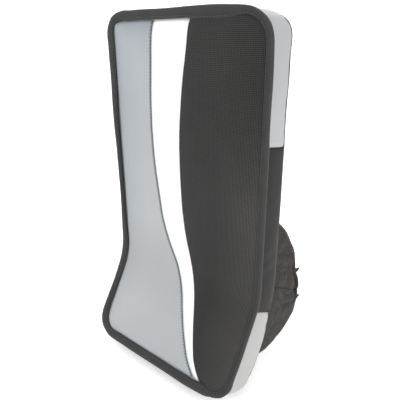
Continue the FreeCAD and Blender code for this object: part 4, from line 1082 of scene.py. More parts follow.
def gusset_piece(name, d0, d1, material, t0=1.4, t1=32.0, seed=0, shift=None, bulge=1.0):
    """A band of the rim between two distances along the outline; shift(t) skews the ends."""
    total = TOTAL
    nd = max(8, int(abs(d1 - d0) / 1.6))
    k = np.linspace(0, 1, nd)
    tv = np.linspace(t0, t1, 34)
    K, T = np.meshgrid(k, tv, indexing="ij")
    e0 = d0 + (shift[0](T) if shift else 0.0)
    e1 = d1 + (shift[1](T) if shift else 0.0)
    D = (e0 + (e1 - e0) * K)
    Dm = np.mod(D, total)
    ext = lambda a: np.concatenate([a, a[:1]])
    dd = np.concatenate([OD, [total]])
    x0, s0 = np.interp(Dm, dd, ext(OP[:, 0])), np.interp(Dm, dd, ext(OP[:, 1]))
    nx, ns = np.interp(Dm, dd, ext(ON[:, 0])), np.interp(Dm, dd, ext(ON[:, 1]))
    w = (T - t0) / (t1 - t0)
    lift = rear_lift(s0)
    T = T + lift * w * w
    dome = np.sin(math.pi * np.clip(w, 0, 1)) ** 0.55
    q = np.stack([D * 0.001, T * 0.00028, T * 0], -1)
    wr = value_noise(q, 0.0085, seed + 31) * 0.30 + value_noise(q, 0.022, seed + 33) * 0.32
    q2 = np.stack([D * 0.001, T * 0.001, T * 0], -1)
    wr = wr + value_noise(q2, 0.016, seed + 35) * 0.16
    end = np.minimum(np.abs(D - e0), np.abs(e1 - D))
    groove = 0.9 * np.exp(-end / 1.4)
    pucker = value_noise(np.stack([T * 0.001, D * 0, D * 0], -1), 0.004, seed + 37) * 0.14 * np.exp(-end / 5.0)
    # follows the rim, squarer behind it
    o = rim(RIM_OUT, D)
    E = 3.4 - 0.1 * w - bulge * 1.55 * dome - wr * dome + groove + pucker - o - LIFT_E * lift * np.sin(np.minimum(w * 1.25, 1.0) * math.pi / 2) - rear_corner(D) * w
    # always outside the foam it covers
    cap = 2.75 + 1.95 * np.clip((T - 7.4) / 1.2, 0, 1)
    E = np.where(T > 2.4, np.minimum(E, cap), E)
    inner = 5.6 - o - (LIFT_E * lift + rear_corner(D)) * w
    top = bend(x0 + E * nx, s0 + E * ns, T)
    bottom = bend(x0 + inner * nx, s0 + inner * ns, T)
    uv = np.stack([D * 0.001, T * 0.001], -1)
    o = slab(name, top, bottom, material, uv)
    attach(o, "root")
    return o


UP_S, UP_K = 267.0, -4.6 / 28.6
LO_S, LO_K = 99.85, -0.063
d_up = lambda t: (UP_S + UP_K * t) - RC
d_lo = lambda t: (LO_S + LO_K * t) - RC
# distances along the outline of the same heights on the far side
d_far = lambda s: OD[np.argmin(np.abs(OP[:, 1] - s) + (OP[:, 0] > 0) * 999)]
FU, FL = d_far(UP_S), d_far(LO_S)
g_top = gusset_piece("gusset_panel_top", UP_S - RC + 0.15, FU - 0.15, M["gusset_grey"], seed=1,
                     shift=(lambda t: UP_K * t, lambda t: -UP_K * t))
g_thumb = gusset_piece("gusset_panel_thumb_side", LO_S - RC + 0.15, UP_S - RC - 0.15, M["gusset_black"], seed=2,
                       shift=(lambda t: LO_K * t, lambda t: UP_K * t))
g_outer = gusset_piece("gusset_panel_outer_side", FU + 0.15, FL - 0.15, M["gusset_black"], seed=3,
                       shift=(lambda t: -UP_K * t, lambda t: -LO_K * t))
g_low = gusset_piece("gusset_panel_bottom", FL + 0.15, TOTAL + LO_S - RC - 0.15, M["gusset_grey_painted_lit"], seed=4,
                     shift=(lambda t: -LO_K * t, lambda t: LO_K * t))
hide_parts("gusset_top")
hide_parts("gusset_side_thumb")
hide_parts("gusset_side_outer")
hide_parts("gusset_bottom")

a = np.arange(14) / 14 * 2 * math.pi
pipe = np.stack([4.4 + 1.5 * np.cos(a), 32.3 + 1.5 * np.sin(a)], -1)


def pipe_wave(E, T, d):
    w = value_noise(np.stack([d * 0.001, d * 0, d * 0], -1), 0.018, 41)[:, None]
    lift = rear_lift(OP[:, 1])[:, None]
    low = np.clip((130.0 - OP[:, 1]) / 30.0, 0, 1)[:, None]
    return E + 0.25 * w + 1.0 * low - rim(RIM_OUT, d)[:, None] - LIFT_E * lift - rear_corner(d)[:, None], T + 0.15 * w + lift


piping = sweep_outline("rear_edge_piping", pipe, M["tape"], pipe_wave)
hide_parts("rear_piping")

# ------------------------------------------------------------------ back of the board
def back_panel():
    sv = s_rows(3.15, L - 3.15, 4.0)
    nu = 60
    k = np.linspace(0, 1, nu)
    k = 0.5 - 0.5 * np.cos(k * math.pi)
    S = np.repeat(sv[None, :], nu, 0)
    lim = xlim(sv, 3.1)
    X = -lim[None, :] + 2 * lim[None, :] * k[:, None]
    d = edge_dist(X, S) - 4.0
    # flat and tight under the glove, softly puffed elsewhere
    zrow = S - S_HIGH + ZB - OZ
    dx = np.maximum(np.abs(X) - 56.0, 0)
    dz = np.maximum(np.maximum(-62.0 - zrow, zrow - 132.0), 0)
    flat = np.clip(np.hypot(dx, dz) / 16.0, 0, 1)
    flat = flat * flat * (3 - 2 * flat)
    h = 1.9 * flat * (1 - np.exp(-np.maximum(d - 5.0, 0) / 6.0)) - 0.9 * np.exp(-((d - 5.0) / 1.1) ** 2)
    q = np.stack([X * 0.001, S * 0.001, X * 0], -1)
    h += 0.3 * value_noise(q, 0.05, 51) * flat
    h += rear_lift(S) * np.exp(-np.maximum(d - 2.0, 0) / 9.0)
    # its edge follows the piping
    far = np.hypot(X.ravel()[:, None] - OP[None, :, 0], S.ravel()[:, None] - OP[None, :, 1])
    near = far.argmin(1)
    fall = np.exp(-((far.min(1) / 16.0) ** 2))
    move = (rim(RIM_OUT, OD[near]) + rear_corner(OD[near]) + LIFT_E * rear_lift(OP[near, 1]) + 0.3) * fall
    XM = X - (ON[near, 0] * move).reshape(X.shape)
    SM = S - (ON[near, 1] * move).reshape(X.shape)
    top = bend(XM, SM, 31.35 + h)
    bottom = bend(XM, SM, np.minimum(31.35 + h - 1.5, 30.4))
    o = slab("back_panel_cover", top, bottom, M["back"], np.stack([X * 0.001, S * 0.001], -1))
    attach(o, "root")
    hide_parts("back_cover")
    return o


back_panel()
outline_stitch("stitch_back_edge", 9.0, 31.0, M["thread_dark"], nt=1.0, length=2.8, gap=1.2, radius=0.28)

# ------------------------------------------------------------------ side guard (upright board coordinates, mm)
FREE = [(33.0, 177.0), (42.0, 170.8), (49.5, 164.6), (57.5, 158.0), (64.5, 150.8), (71.0, 142.4), (77.0, 133.4),
        (84.2, 124.2), (90.0, 113.4), (92.4, 101.6), (95.6, 90.2), (99.6, 78.8), (102.4, 67.6), (102.8, 57.6),
        (101.9, 47.6), (101.0, 37.4), (94.8, 29.4), (86.4, 23.4), (76.0, 18.0), (64.0, 15.0), (51.0, 12.8), (38.0, 11.8),
        (22.0, 13.4), (6.0, 16.4), (-9.0, 19.5)]


def resample(points, n, smooth=40):
    p = np.asarray(points, float)
    d = np.concatenate([[0], np.cumsum(np.linalg.norm(np.diff(p, axis=0), axis=1))])
    fine = np.linspace(0, d[-1], 600)
    q = np.stack([np.interp(fine, d, p[:, i]) for i in range(p.shape[1])], -1)
    for _ in range(smooth):
        q[1:-1] = 0.25 * q[:-2] + 0.5 * q[1:-1] + 0.25 * q[2:]
    d = np.concatenate([[0], np.cumsum(np.linalg.norm(np.diff(q, axis=0), axis=1))])
    fine = np.linspace(0, d[-1], n)
    return np.stack([np.interp(fine, d, q[:, i]) for i in range(p.shape[1])], -1), fine


def rear_line(z, t=30.4):
    """y of the board's rear surface at height z (board coordinates)."""
    s = np.linspace(0, L, 1200)
    P = bend(0 * s, s, t)
    yy, zz = P[:, 1] * 1000 + OY, P[:, 2] * 1000 + OZ
    return np.interp(z, zz, yy)


GX_OUT, GX_IN = 93.9, 81.1
GU = 230
EDGE, ED = resample(FREE, GU, 70)
frac = ED / ED[-1]
base_z = 178.0 - frac * 156.0
BASE = np.stack([rear_line(base_z), base_z], -1)


def ridge(x, scale, seed):
    """Creased noise: sharp valleys between rounded folds, 0..1."""
    n = value_noise(np.stack([x, x * 0 + 0.37, x * 0 + 0.11], -1), scale, seed)
    return np.abs(n)


def guard_rings(i0, i1):
    rings, uvs = [], []
    idx = np.arange(i0, i1 + 1)
    E, B = EDGE[idx], BASE[idx]
    ln = np.maximum(np.linalg.norm(E - B, axis=1), 3.0)
    dr = (E - B) / np.linalg.norm(E - B, axis=1)[:, None]
    half = (GX_OUT - GX_IN) / 2
    cx = (GX_OUT + GX_IN) / 2
    nface, nround, nin = 44, 16, 14
    r = np.minimum(half, ln * 0.45)
    out = np.zeros((len(idx), nface + nround + nin, 3))
    uv = np.zeros((len(idx), nface + nround + nin, 2))
    zz = E[:, 1]
    u = ED[idx]
    for k in range(nface + nround + nin):
        if k < nface:
            v = k / nface
            w, x = (ln - r) * v, np.full(len(idx), GX_OUT)
            part = 0
        elif k < nface + nround:
            a = (k - nface) / nround * math.pi
            w, x = ln - r + r * np.sin(a), np.full(len(idx), cx + half * np.cos(a))
            part = 1
        else:
            v = 1 - (k - nface - nround) / (nin - 1)
            w, x = (ln - r) * v, np.full(len(idx), GX_IN)
            part = 2
        wv = w / ln
        y = B[:, 0] + dr[:, 0] * w
        z = B[:, 1] + dr[:, 1] * w
        P = np.stack([y * 0.001, z * 0.001, x * 0 + 0.0], -1)
        # folds that fan out from the board, broken up along their length
        wob = value_noise(P, 0.030, 61) * 7.0 + value_noise(P, 0.014, 62) * 2.5
        f1 = ridge((u + wob) * 0.001, 0.0165, 63)
        f2 = ridge((u + wob * 0.6) * 0.001, 0.0075, 64)
        amp = np.clip(wv / 0.12, 0, 1) * np.clip((ln - w) / 9.0, 0, 1)
        folds = (2.1 * np.sqrt(f1) + 0.75 * np.sqrt(f2)) * amp * np.clip(ln / 45.0, 0.15, 1)
        # a second family that runs the other way, strong behind the roll
        f3 = ridge((w + wob * 0.8) * 0.001, 0.013, 65)
        cross = 1.5 * np.sqrt(f3) * amp * np.exp(-(((zz - 80) / 34.0) ** 2))
        # the padded roll along the rear edge, between the two ties
        roll = np.exp(-(((zz - 69.0) / 27.0) ** 4))
        grooved = np.exp(-(((ln - w - 13.5) / 1.9) ** 2)) * roll * 2.6
        puffed = np.exp(-(((ln - w - 7.0) / 4.6) ** 2)) * roll * 1.2
        pulled = np.exp(-(((zz - 88.0) / 2.4) ** 2)) + np.exp(-(((zz - 49.5) / 2.4) ** 2))
        # scalloped, whip-stitched rim above the roll
        sc = np.exp(-(((zz - 130.0) / 20.0) ** 4)) * np.clip(1 - (ln - w) / 11.0, 0, 1)
        scal = 0.9 * np.abs(np.sin(u * math.pi / 5.2)) * sc
        soft = value_noise(P, 0.011, 66) * 0.5 + value_noise(P, 0.005, 67) * 0.18
        if part == 0:
            x = x - 2.6 + folds + cross * 0.8 + puffed - grooved - 1.4 * pulled * np.clip(1 - (ln - w) / 16.0, 0, 1) + soft
        elif part == 1:
            ca = np.cos((k - nface) / nround * math.pi)
            x = x - max(ca, 0) * 2.6 + (folds + puffed - grooved) * max(ca, 0) + soft * 0.6
            w = w - 0.5 + scal * 1.0 + 0.9 * roll - 1.2 * pulled + soft * 0.8
        else:
            x = x + 0.4 + soft * 0.5 * np.clip(wv / 0.1, 0, 1)
        y = B[:, 0] + dr[:, 0] * w
        z = B[:, 1] + dr[:, 1] * w
        out[:, k] = row(x, y, z)
        uv[:, k, 0] = u * 0.001
        uv[:, k, 1] = (w + (0 if part < 2 else 200)) * 0.001
    return out, uv


split = int(np.argmin(np.abs(EDGE[:, 1] - 58.0) + (np.arange(GU) < 60) * 99))
ra, ua = guard_rings(2, split)
rb, ub = guard_rings(split, GU - 3)
guard_skin = tube("side_guard_skin_folded", ra, M["guard"], uv=ua)
guard_mesh = tube("side_guard_mesh_panel", rb, M["mesh"], uv=ub)
for o, sl, nodes in ((guard_skin, "guard_nylon", ("side_guard_skin", "side_guard_foam")), (guard_mesh, "guard_mesh", ("side_guard_mesh",))):
    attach(o, "root")
    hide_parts(*nodes)


def guard_point(i, inset, x):
    E, B = EDGE[i], BASE[i]
    d = (E - B) / np.linalg.norm(E - B, axis=1)[:, None]
    p = E - d * inset
    return row(np.full(len(i), float(x)), p[:, 0], p[:, 1])


# seam cord between skin and mesh, seam of the rear roll, and the tape on the glove side of the rim
seam_w = np.linspace(0.04, 0.90, 60)
Bs, Es = BASE[split], EDGE[split]
sp = Bs[None, :] + (Es - Bs)[None, :] * seam_w[:, None]
sx = ra[-1, :44, 0] * 1000
sxi = np.interp(seam_w, np.linspace(0, 0.9, 44), sx)
o = cord_mesh("guard_seam_welt", row(sxi + 0.15, sp[:, 0], sp[:, 1]), 0.0006, M["guard_welt_painted_shade"], sides=8)
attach(o, "root")
ii = np.arange(6, GU - 6)
for name, inset, x, mat in (("stitch_guard_rim_inner", 9.5, 80.05, M["thread_dark"]), ("stitch_guard_rim_inner_b", 3.2, 80.05, M["thread_dark"])):
    P = guard_point(ii, inset, x)
    o = stitches(name, P, np.tile([-1.0, 0, 0], (len(P), 1)), mat, length=2.8, gap=1.0, radius=0.28)
    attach(o, "root")


def flat_band(name, centre, normal, width, thick, material, wave=0.0, seed=0, round_=0.6, cap=True):
    """A tape with rounded edges along a centre line; normal is the flat side's outward direction at each point."""
    p = np.asarray(centre, float)
    tg, side, n = frames_along(p, normal)
    hw, ht = width / 2, thick / 2
    prof = []
    for a in np.linspace(-90, 90, 6):
        prof.append((hw - ht * round_ * (1 - math.cos(math.radians(a))), ht * math.sin(math.radians(a))))
    for w in np.linspace(0.8, -0.8, 9):
        prof.append((hw * w, ht * (1.0 + 0.12 * (1 - w * w))))
    for a in np.linspace(90, 270, 6):
        prof.append((-hw - ht * round_ * (-1 - math.cos(math.radians(a))) * 1.0 - ht * round_ * 0.0, ht * math.sin(math.radians(a))))
    for w in np.linspace(-0.8, 0.8, 9):
        prof.append((hw * w, -ht))
    prof = np.array(prof)
    prof[:, 0] = np.clip(prof[:, 0], -hw, hw)
    rings = p[:, None, :] + side[:, None, :] * prof[None, :, 0, None] + n[:, None, :] * prof[None, :, 1, None]
    if wave:
        q = value_noise(p, 0.012, seed)[:, None, None]
        rings = rings + n[:, None, :] * q * wave
    d = np.concatenate([[0], np.cumsum(np.linalg.norm(np.diff(p, axis=0), axis=1))])
    uv = np.stack([np.repeat(d[:, None], len(prof), 1), np.repeat(prof[None, :, 0], len(p), 0)], -1)
    return tube(name, rings, material, uv=uv)


P = guard_point(ii, 6.4, 80.4)
tape = flat_band("guard_rim_tape", P, np.tile([-1.0, 0, 0], (len(P), 1)), 0.0095, 0.0013, M["tape_wide"], 0.0002, 71)
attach(tape, "root")
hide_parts("side_guard_binding")

# whip stitches over the upper rim
verts_p = []
zsel = np.where((EDGE[:, 1] < 152) & (EDGE[:, 1] > 108))[0]
count = 0
acc = ED[zsel[0]]
while acc < ED[zsel[-1]]:
    k = float(np.interp(acc, ED, np.arange(GU)))
    i = int(k)
    E, B = EDGE[i], BASE[i]
    d = (E - B) / np.linalg.norm(E - B)
    tz = EDGE[min(i + 1, GU - 1)] - EDGE[i]
    tz = tz / (np.linalg.norm(tz) + 1e-9)
    a = np.linspace(0.05, 0.8, 9) * math.pi
    w = -6.4 + 6.9 * np.sin(a)
    x = (GX_OUT + GX_IN) / 2 + 6.6 * np.cos(a) - np.maximum(np.cos(a), 0) * 1.7
    pos = E[None, :] + d[None, :] * (w[:, None] - 0.9) + tz[None, :] * np.linspace(-1.6, 1.6, 9)[:, None]
    o = cord_mesh("guard_whip_stitch_%02d" % count, row(x, pos[:, 0], pos[:, 1]), 0.00055, M["thread_black"], sides=6)
    o.parent = guard_skin
    verts_p.append(o)
    count += 1
    acc += 5.2


def join(objs, name):
    """Merges several meshes in the row frame into one object."""
    verts, faces, base = [], [], 0
    for o in objs:
        me = o.data
        co = np.zeros(len(me.vertices) * 3)
        me.vertices.foreach_get("co", co)
        verts.append(co.reshape(-1, 3))
        faces += [tuple(base + v for v in p.vertices) for p in me.polygons]
        base += len(me.vertices)
    mat = objs[0].data.materials[0]
    for o in objs:
        me = o.data
        bpy.data.objects.remove(o)
        bpy.data.meshes.remove(me)
    return add_object(name, np.concatenate(verts), faces, mat)


o = join(verts_p, "guard_whip_stitches")
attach(o, "root")

# flat lace between the eyelets and its two tied ends
lo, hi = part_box("guard_lace")
ly = (lo.y + hi.y) / 2
zz = np.linspace(hi.z - 0.0005, lo.z + 0.0005, 40)
lace_line = np.stack([np.full(40, (lo.x + hi.x) / 2), np.full(40, 0.0), zz], -1)
gy = np.interp(-(zz * 1000 + OZ), -EDGE[40:split + 40, 1], EDGE[40:split + 40, 0]) - OY
lace_line[:, 1] = np.maximum(gy * 0.001 + 0.0016, lo.y)
lace_line[:, 1] = np.minimum(lace_line[:, 1], hi.y)
lace = flat_band("guard_lace_flat", lace_line, np.tile([0, 1.0, 0.05], (40, 1)), 0.0032, 0.0011, M["lace"], 0.0002, 73)
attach(lace, "root")
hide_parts("guard_lace")


def knot(name, c, size, seed):
    """A small overhand knot with two short ends."""
    parts = []
    a = np.linspace(0, 2 * math.pi, 40)
    for k, (tx, tz) in enumerate(((0.35, 0.0), (-0.4, 0.5))):
        ring = np.stack([c[0] + size * 0.62 * np.cos(a), c[1] + size * 0.45 * np.sin(a) * math.cos(tx) , c[2] + size * 0.5 * (np.sin(a) * math.sin(tx) + tz * np.cos(a))], -1)
        parts.append(cord_mesh("%s_%d" % (name, k), ring[:-3], size * 0.40, M["lace"], sides=10))
    b = np.linspace(0, 1, 12)
    for k, (dx, dz) in enumerate(((0.7, 0.35), (-0.5, -0.6))):
        end = np.stack([c[0] + size * dx * b * 0.9, c[1] + size * (0.25 + 0.85 * b), c[2] + size * dz * (b + 0.35 * b * b)], -1)
        parts.append(cord_mesh("%s_e%d" % (name, k), end, size * 0.40, M["lace"], sides=9))
    return join(parts, name)


lo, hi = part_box("lace_knots")
kx, kt = (lo.x + hi.x) / 2, (hi.z - lo.z)
parts = []
for k, z in enumerate((88.0, 49.5)):
    i = int(np.argmin(np.abs(EDGE[:150, 1] - z)))
    parts.append(knot("knot%d" % k, (kx + 0.001, (EDGE[i, 0] - OY + 1.9) * 0.001, (z - OZ - 1.3 - 1.0 * k) * 0.001), 0.0034, k))
o = join(parts, "guard_lace_tied_ends")
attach(o, "root")
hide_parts("lace_knots")

# ------------------------------------------------------------------ padded pieces that swell in a cloth simulation
def puffed(name, node, material, slot, body="root", voxel=0.0042, pressure=4.0, cap=0.006, shrink=0.0016, fill=0.6, keep=None, flat=None):
    """Takes a soft CAD solid's shape, draws it in a little, and lets it swell under pressure; keep(co, co0) limits the result."""
    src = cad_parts[node]
    me = src.data.copy()
    me.transform(src.matrix_world)
    me.materials.clear()
    me.name = name
    o = bpy.data.objects.new(name, me)
    bpy.context.scene.collection.objects.link(o)
    m = o.modifiers.new("remesh", "REMESH")
    m.mode = "VOXEL"
    m.voxel_size = voxel
    apply_all(o)
    m = o.modifiers.new("smooth", "SMOOTH")
    m.iterations = 4
    m.factor = 0.5
    apply_all(o)
    n = len(o.data.vertices)
    co = np.zeros(n * 3)
    nn = np.zeros(n * 3)
    o.data.vertices.foreach_get("co", co)
    o.data.vertices.foreach_get("normal", nn)
    co0 = co.reshape(-1, 3).copy()
    start = co0 - nn.reshape(-1, 3) * shrink
    o.data.vertices.foreach_set("co", start.ravel())
    o.data.update()
    cl = o.modifiers.new("cloth", "CLOTH")
    st = cl.settings
    st.quality = 6
    st.mass = 0.25
    st.tension_stiffness = 12
    st.compression_stiffness = 12
    st.shear_stiffness = 4
    st.bending_stiffness = 0.6
    st.use_pressure = True
    st.uniform_pressure_force = pressure
    st.effector_weights.gravity = 0
    cl.collision_settings.use_collision = False
    cl.collision_settings.use_self_collision = False
    sc = bpy.context.scene
    for fr in range(1, 21):
        sc.frame_set(fr)
    dg = bpy.context.evaluated_depsgraph_get()
    ev = o.evaluated_get(dg)
    out = np.zeros(n * 3)
    ev.to_mesh().vertices.foreach_get("co", out)
    out = out.reshape(-1, 3)
    o.modifiers.clear()
    sc.frame_set(1)
    move = out - start
    ln = np.linalg.norm(move, axis=1)
    move *= np.minimum(1.0, cap / np.maximum(ln, 1e-9))[:, None]
    out = start + move
    lo, hi = co0.min(0), co0.max(0)
    slack = 0.0006
    out = np.clip(out, lo - slack, hi + slack)
    if keep is not None:
        out = keep(out)
    o.data.vertices.foreach_set("co", out.ravel())
    o.data.update()
    m = o.modifiers.new("smooth", "SMOOTH")
    m.iterations = 2
    m.factor = 0.4
    apply_all(o)
    subdivide(o, 1)
    o.data.polygons.foreach_set("use_smooth", [True] * len(o.data.polygons))
    o.data.materials.clear()
    o.data.materials.append(material)
    return o


def carve(o, fn):
    """Moves each point by fn(points, normals) metres."""
    n = len(o.data.vertices)
    co, nn = np.zeros(n * 3), np.zeros(n * 3)
    o.data.vertices.foreach_get("co", co)
    o.data.vertices.foreach_get("normal", nn)
    co, nn = co.reshape(-1, 3), nn.reshape(-1, 3)
    o.data.vertices.foreach_set("co", (co + fn(co, nn)).ravel())
    o.data.update()
    return o


def pad_seams(o, lines, axis_out, width=0.0016, depth=0.0022):
    """Sewn channels: lines are (axis, value) planes; only the side that faces axis_out sinks."""
    ax, sg = axis_out

    def fn(co, nn):
        side = np.clip(nn[:, ax] * sg, 0, 1)
        d = np.zeros(len(co))
        for la, val in lines:
            d += np.exp(-(((co[:, la] - val) / width) ** 2))
        out = np.zeros_like(co)
        out[:, ax] = -sg * depth * np.minimum(d, 1) * side
        return out

    return carve(o, fn)


for node, key, sl, lines, out_side, fill in (
    ("backhand_pad", "lining", "foam", [(2, 0.004), (0, -0.016), (0, 0.018)], (1, 1), 0.6),
    ("cuff_front_pad", "lining", "foam", [(2, 0.064), (2, 0.084)], (1, 1), 0.6),
    ("outer_side_pad", "glove", "foam", [(2, -0.018), (2, 0.013)], (0, -1), 0.6),
):
    o = puffed(node + "_cushion", node, M[key], sl)
    pad_seams(o, lines, out_side)
    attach(o, "root")
    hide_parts(node)


# ------------------------------------------------------------------ sewn sleeves
def ring_shape(a, hx, hy, r, n_=2.6):
    """Rounded rectangle as a smooth closed curve of the angle, half sizes hx, hy (mm)."""
    c, s = np.cos(a), np.sin(a)
    p = max(2.2, 2.0 + 2.6 * (1 - r / max(1.0, min(hx, hy))))
    k = (np.abs(c) ** p + np.abs(s) ** p) ** (-1 / p)
    return hx * c * k, hy * s * k


def sleeve(name, x0, x1, y0, y1, z0, z1, r, wall, material, nz=60, na=140, wrinkle=0.7, seed=0, taper=None, rolls=(), end_roll=1.0):
    """An open fabric tube along Z (mm, row frame) with an inside and an outside; rolls are (z, depth, width) channels."""
    cx, cy, hx, hy = (x0 + x1) / 2, (y0 + y1) / 2, (x1 - x0) / 2, (y1 - y0) / 2
    a = np.arange(na) / na * 2 * math.pi
    zs = np.linspace(z0, z1, nz)
    A, Z = np.meshgrid(a, zs)
    layers = []
    uvs = []
    for inner in (0, 1):
        off = wall if inner else 0.0
        ox, oy = ring_shape(A, hx - off, hy - off, max(r - off, 3))
        px, py = cx + ox, cy + oy
        P = np.stack([px, py, Z], -1) * 0.001
        nrm = np.stack([ox / hx, oy / hy, 0 * ox], -1)
        nrm /= np.linalg.norm(nrm, axis=-1)[..., None]
        if taper is not None:
            tx, ty = taper(Z)
            P[..., 0] = (cx + ox * tx) * 0.001
            P[..., 1] = (cy + oy * ty) * 0.001
        h = (value_noise(P * np.array([1, 1, 1.7]), 0.017, seed + 1) * 0.55 + value_noise(P * np.array([1, 1, 2.4]), 0.0085, seed + 2) * 0.3 - 0.55) * wrinkle
        ends = np.minimum(Z - z0, z1 - Z)
        h = h - 1.0 * end_roll * np.exp(-(((ends - 4.6) / 0.9) ** 2)) * (1 - inner)
        h = h - 1.1 * end_roll * np.exp(-ends / 0.9) * (1 - 2 * inner) * 0.6
        for zc, dp, wd in rolls:
            h = h - dp * np.exp(-(((Z - zc) / wd) ** 2)) * (1 - inner)
        if inner:
            h = h * 0.4 + 0.1
        P = P + nrm * h[..., None] * 0.001
        layers.append(P)
        uvs.append(np.stack([A / (2 * math.pi) * 2 * (hx + hy) * 0.0017, Z * 0.001], -1))
    out, inn = layers
    nzv = nz * na
    verts = np.concatenate([out.reshape(-1, 3), inn.reshape(-1, 3)])
    faces = grid_faces(nz, na, wrap_v=True)
    faces += [tuple(reversed(f)) for f in grid_faces(nz, na, wrap_v=True, start=nzv)]
    for j in range(na):
        j2 = (j + 1) % na
        faces.append((j, j2, j2 + nzv, j + nzv))
        b = (nz - 1) * na
        faces.append((b + j2, b + j, b + j + nzv, b + j2 + nzv))
    o = add_object(name, verts, faces, material, np.concatenate([uvs[0].reshape(-1, 2), uvs[1].reshape(-1, 2)]))
    return fix_normals(o), out


def ring_stitch(name, grid, iz, material, lift=0.0002, **kw):
    """Stitches round a sleeve's outer grid at row iz."""
    P = grid[iz]
    n = np.cross(np.roll(P, -1, 0) - P, np.tile([0, 0, 1.0], (len(P), 1)))
    n /= np.linalg.norm(n, axis=1)[:, None]
    if ((P - P.mean(0)) * n).sum() < 0:
        n = -n
    P, n = np.concatenate([P, P[:1]]), np.concatenate([n, n[:1]])
    return stitches(name, P + n * lift, n, material, **kw)


# palm sleeve
shell, g = sleeve("glove_palm_sleeve", -49.6, 53.6, -15.6, 18.6, -45.8, 43.8, 13, 2.5, M["glove"], nz=70, na=170, wrinkle=0.9, seed=80)
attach(shell, "root")
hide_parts("glove_shell")
for k, iz in enumerate((4, 65)):
    o = ring_stitch("stitch_palm_sleeve_%d" % k, g, iz, M["thread_dark"], length=2.6, gap=1.1, radius=0.25)
    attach(o, "root")

# wrist cuff: three quilted channels and a bound edge
cuff, gc = sleeve("glove_wrist_cuff", -49.6, 52.6, -14.4, 20.6, 45.2, 103.8, 13, 3.0, M["glove"], nz=64, na=170, wrinkle=0.6, seed=90,
                  rolls=((57, 1.0, 1.3), (73, 1.0, 1.3), (89, 1.0, 1.3)))
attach(cuff, "root")
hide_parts("cuff_shell")
for k, zc in enumerate((57, 73, 89)):
    iz = int(round((zc - 45.2) / (103.8 - 45.2) * 63))
    o = ring_stitch("stitch_cuff_%d" % k, gc, iz, M["thread_dark"], length=2.8, gap=1.1, radius=0.26)
    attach(o, "root")
a = np.arange(170) / 170 * 2 * math.pi
ox, oy = ring_shape(a, 51.1 - 1.5, 17.5 - 1.5, 12)
rings = []
for j in range(170):
    c0 = np.array([1.5 + ox[j], 3.1 + oy[j], 104.2])
    nr = np.array([ox[j] / 49.6, oy[j] / 16.0, 0])
    nr /= np.linalg.norm(nr)
    b = np.arange(12) / 12 * 2 * math.pi
    rings.append(c0 + nr * 1.95 * np.cos(b)[:, None] + np.array([0, 0, 1.0]) * (1.55 * np.sin(b)[:, None] - 0.6))
rim_o = tube("cuff_bound_edge", np.array(rings) * 0.001, M["tape_wide"], closed=True)
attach(rim_o, "root")


# leather palm with its seams
def sheet_on_palm(name, x0, x1, z0, z1, y0, y1, material, rad=9.0, nx=60, nz=60, crown=0.5, seed=0, seams=()):
    k = np.linspace(0, 1, nx)
    sv = np.linspace(z0, z1, nz)
    hz = (z1 - z0) / 2
    zc = (z0 + z1) / 2
    d = np.clip(np.abs(sv - zc) - (hz - rad), 0, rad)
    lim = rad - np.sqrt(np.maximum(rad * rad - d * d, 0))
    X = (x0 + lim)[None, :] + ((x1 - lim) - (x0 + lim))[None, :] * k[:, None]
    Z = np.repeat(sv[None, :], nx, 0)
    ex = np.minimum(np.minimum(X - x0, x1 - X), np.minimum(Z - z0, z1 - Z))
    P = np.stack([X, 0 * X, Z], -1) * 0.001
    h = (y1 - y0) - 0.9 * np.exp(-np.maximum(ex, 0) / 1.2) + value_noise(P, 0.013, seed) * 0.28 * np.clip(ex / 5, 0, 1) + value_noise(P, 0.006, seed + 1) * 0.12 * np.clip(ex / 5, 0, 1)
    for kind, v in seams:
        h = h - 0.6 * np.exp(-((((X if kind == "x" else Z) - v) / 0.8) ** 2))
    top = np.stack([X, y0 + h, Z], -1) * 0.001
    bottom = np.stack([X, 0 * X + y0 - 0.25, Z], -1) * 0.001
    return slab(name, top, bottom, material, np.stack([X, Z], -1) * 0.001)


palm = sheet_on_palm("palm_leather_panel", -38, 42, -43, 38, 19.0, 20.5, M["leather"], 10, seed=101, seams=(("z", -20.0), ("z", 12.0)))
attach(palm, "root")
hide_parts("palm_patch")


def rect_stitch(name, x0, x1, z0, z1, rad, y, body, material, inset=2.0, **kw):
    x0, x1, z0, z1 = x0 + inset, x1 - inset, z0 + inset, z1 - inset
    rad = max(rad - inset, 1.0)
    pts = []
    for cx, cz, a0 in ((x1 - rad, z1 - rad, 0), (x0 + rad, z1 - rad, 90), (x0 + rad, z0 + rad, 180), (x1 - rad, z0 + rad, 270)):
        for i in range(9):
            a = math.radians(a0 + 90 * i / 8)
            pts.append((cx + rad * math.cos(a), y, cz + rad * math.sin(a)))
    pts.append(pts[0])
    P = np.array(pts) * 0.001
    o = stitches(name, P, np.tile([0, 1.0, 0], (len(P), 1)), material, **kw)
    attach(o, body)
    return o


rect_stitch("stitch_palm_leather", -38, 42, -43, 38, 10, 20.35, "root", M["thread_pale"], length=2.4, gap=1.1, radius=0.26)


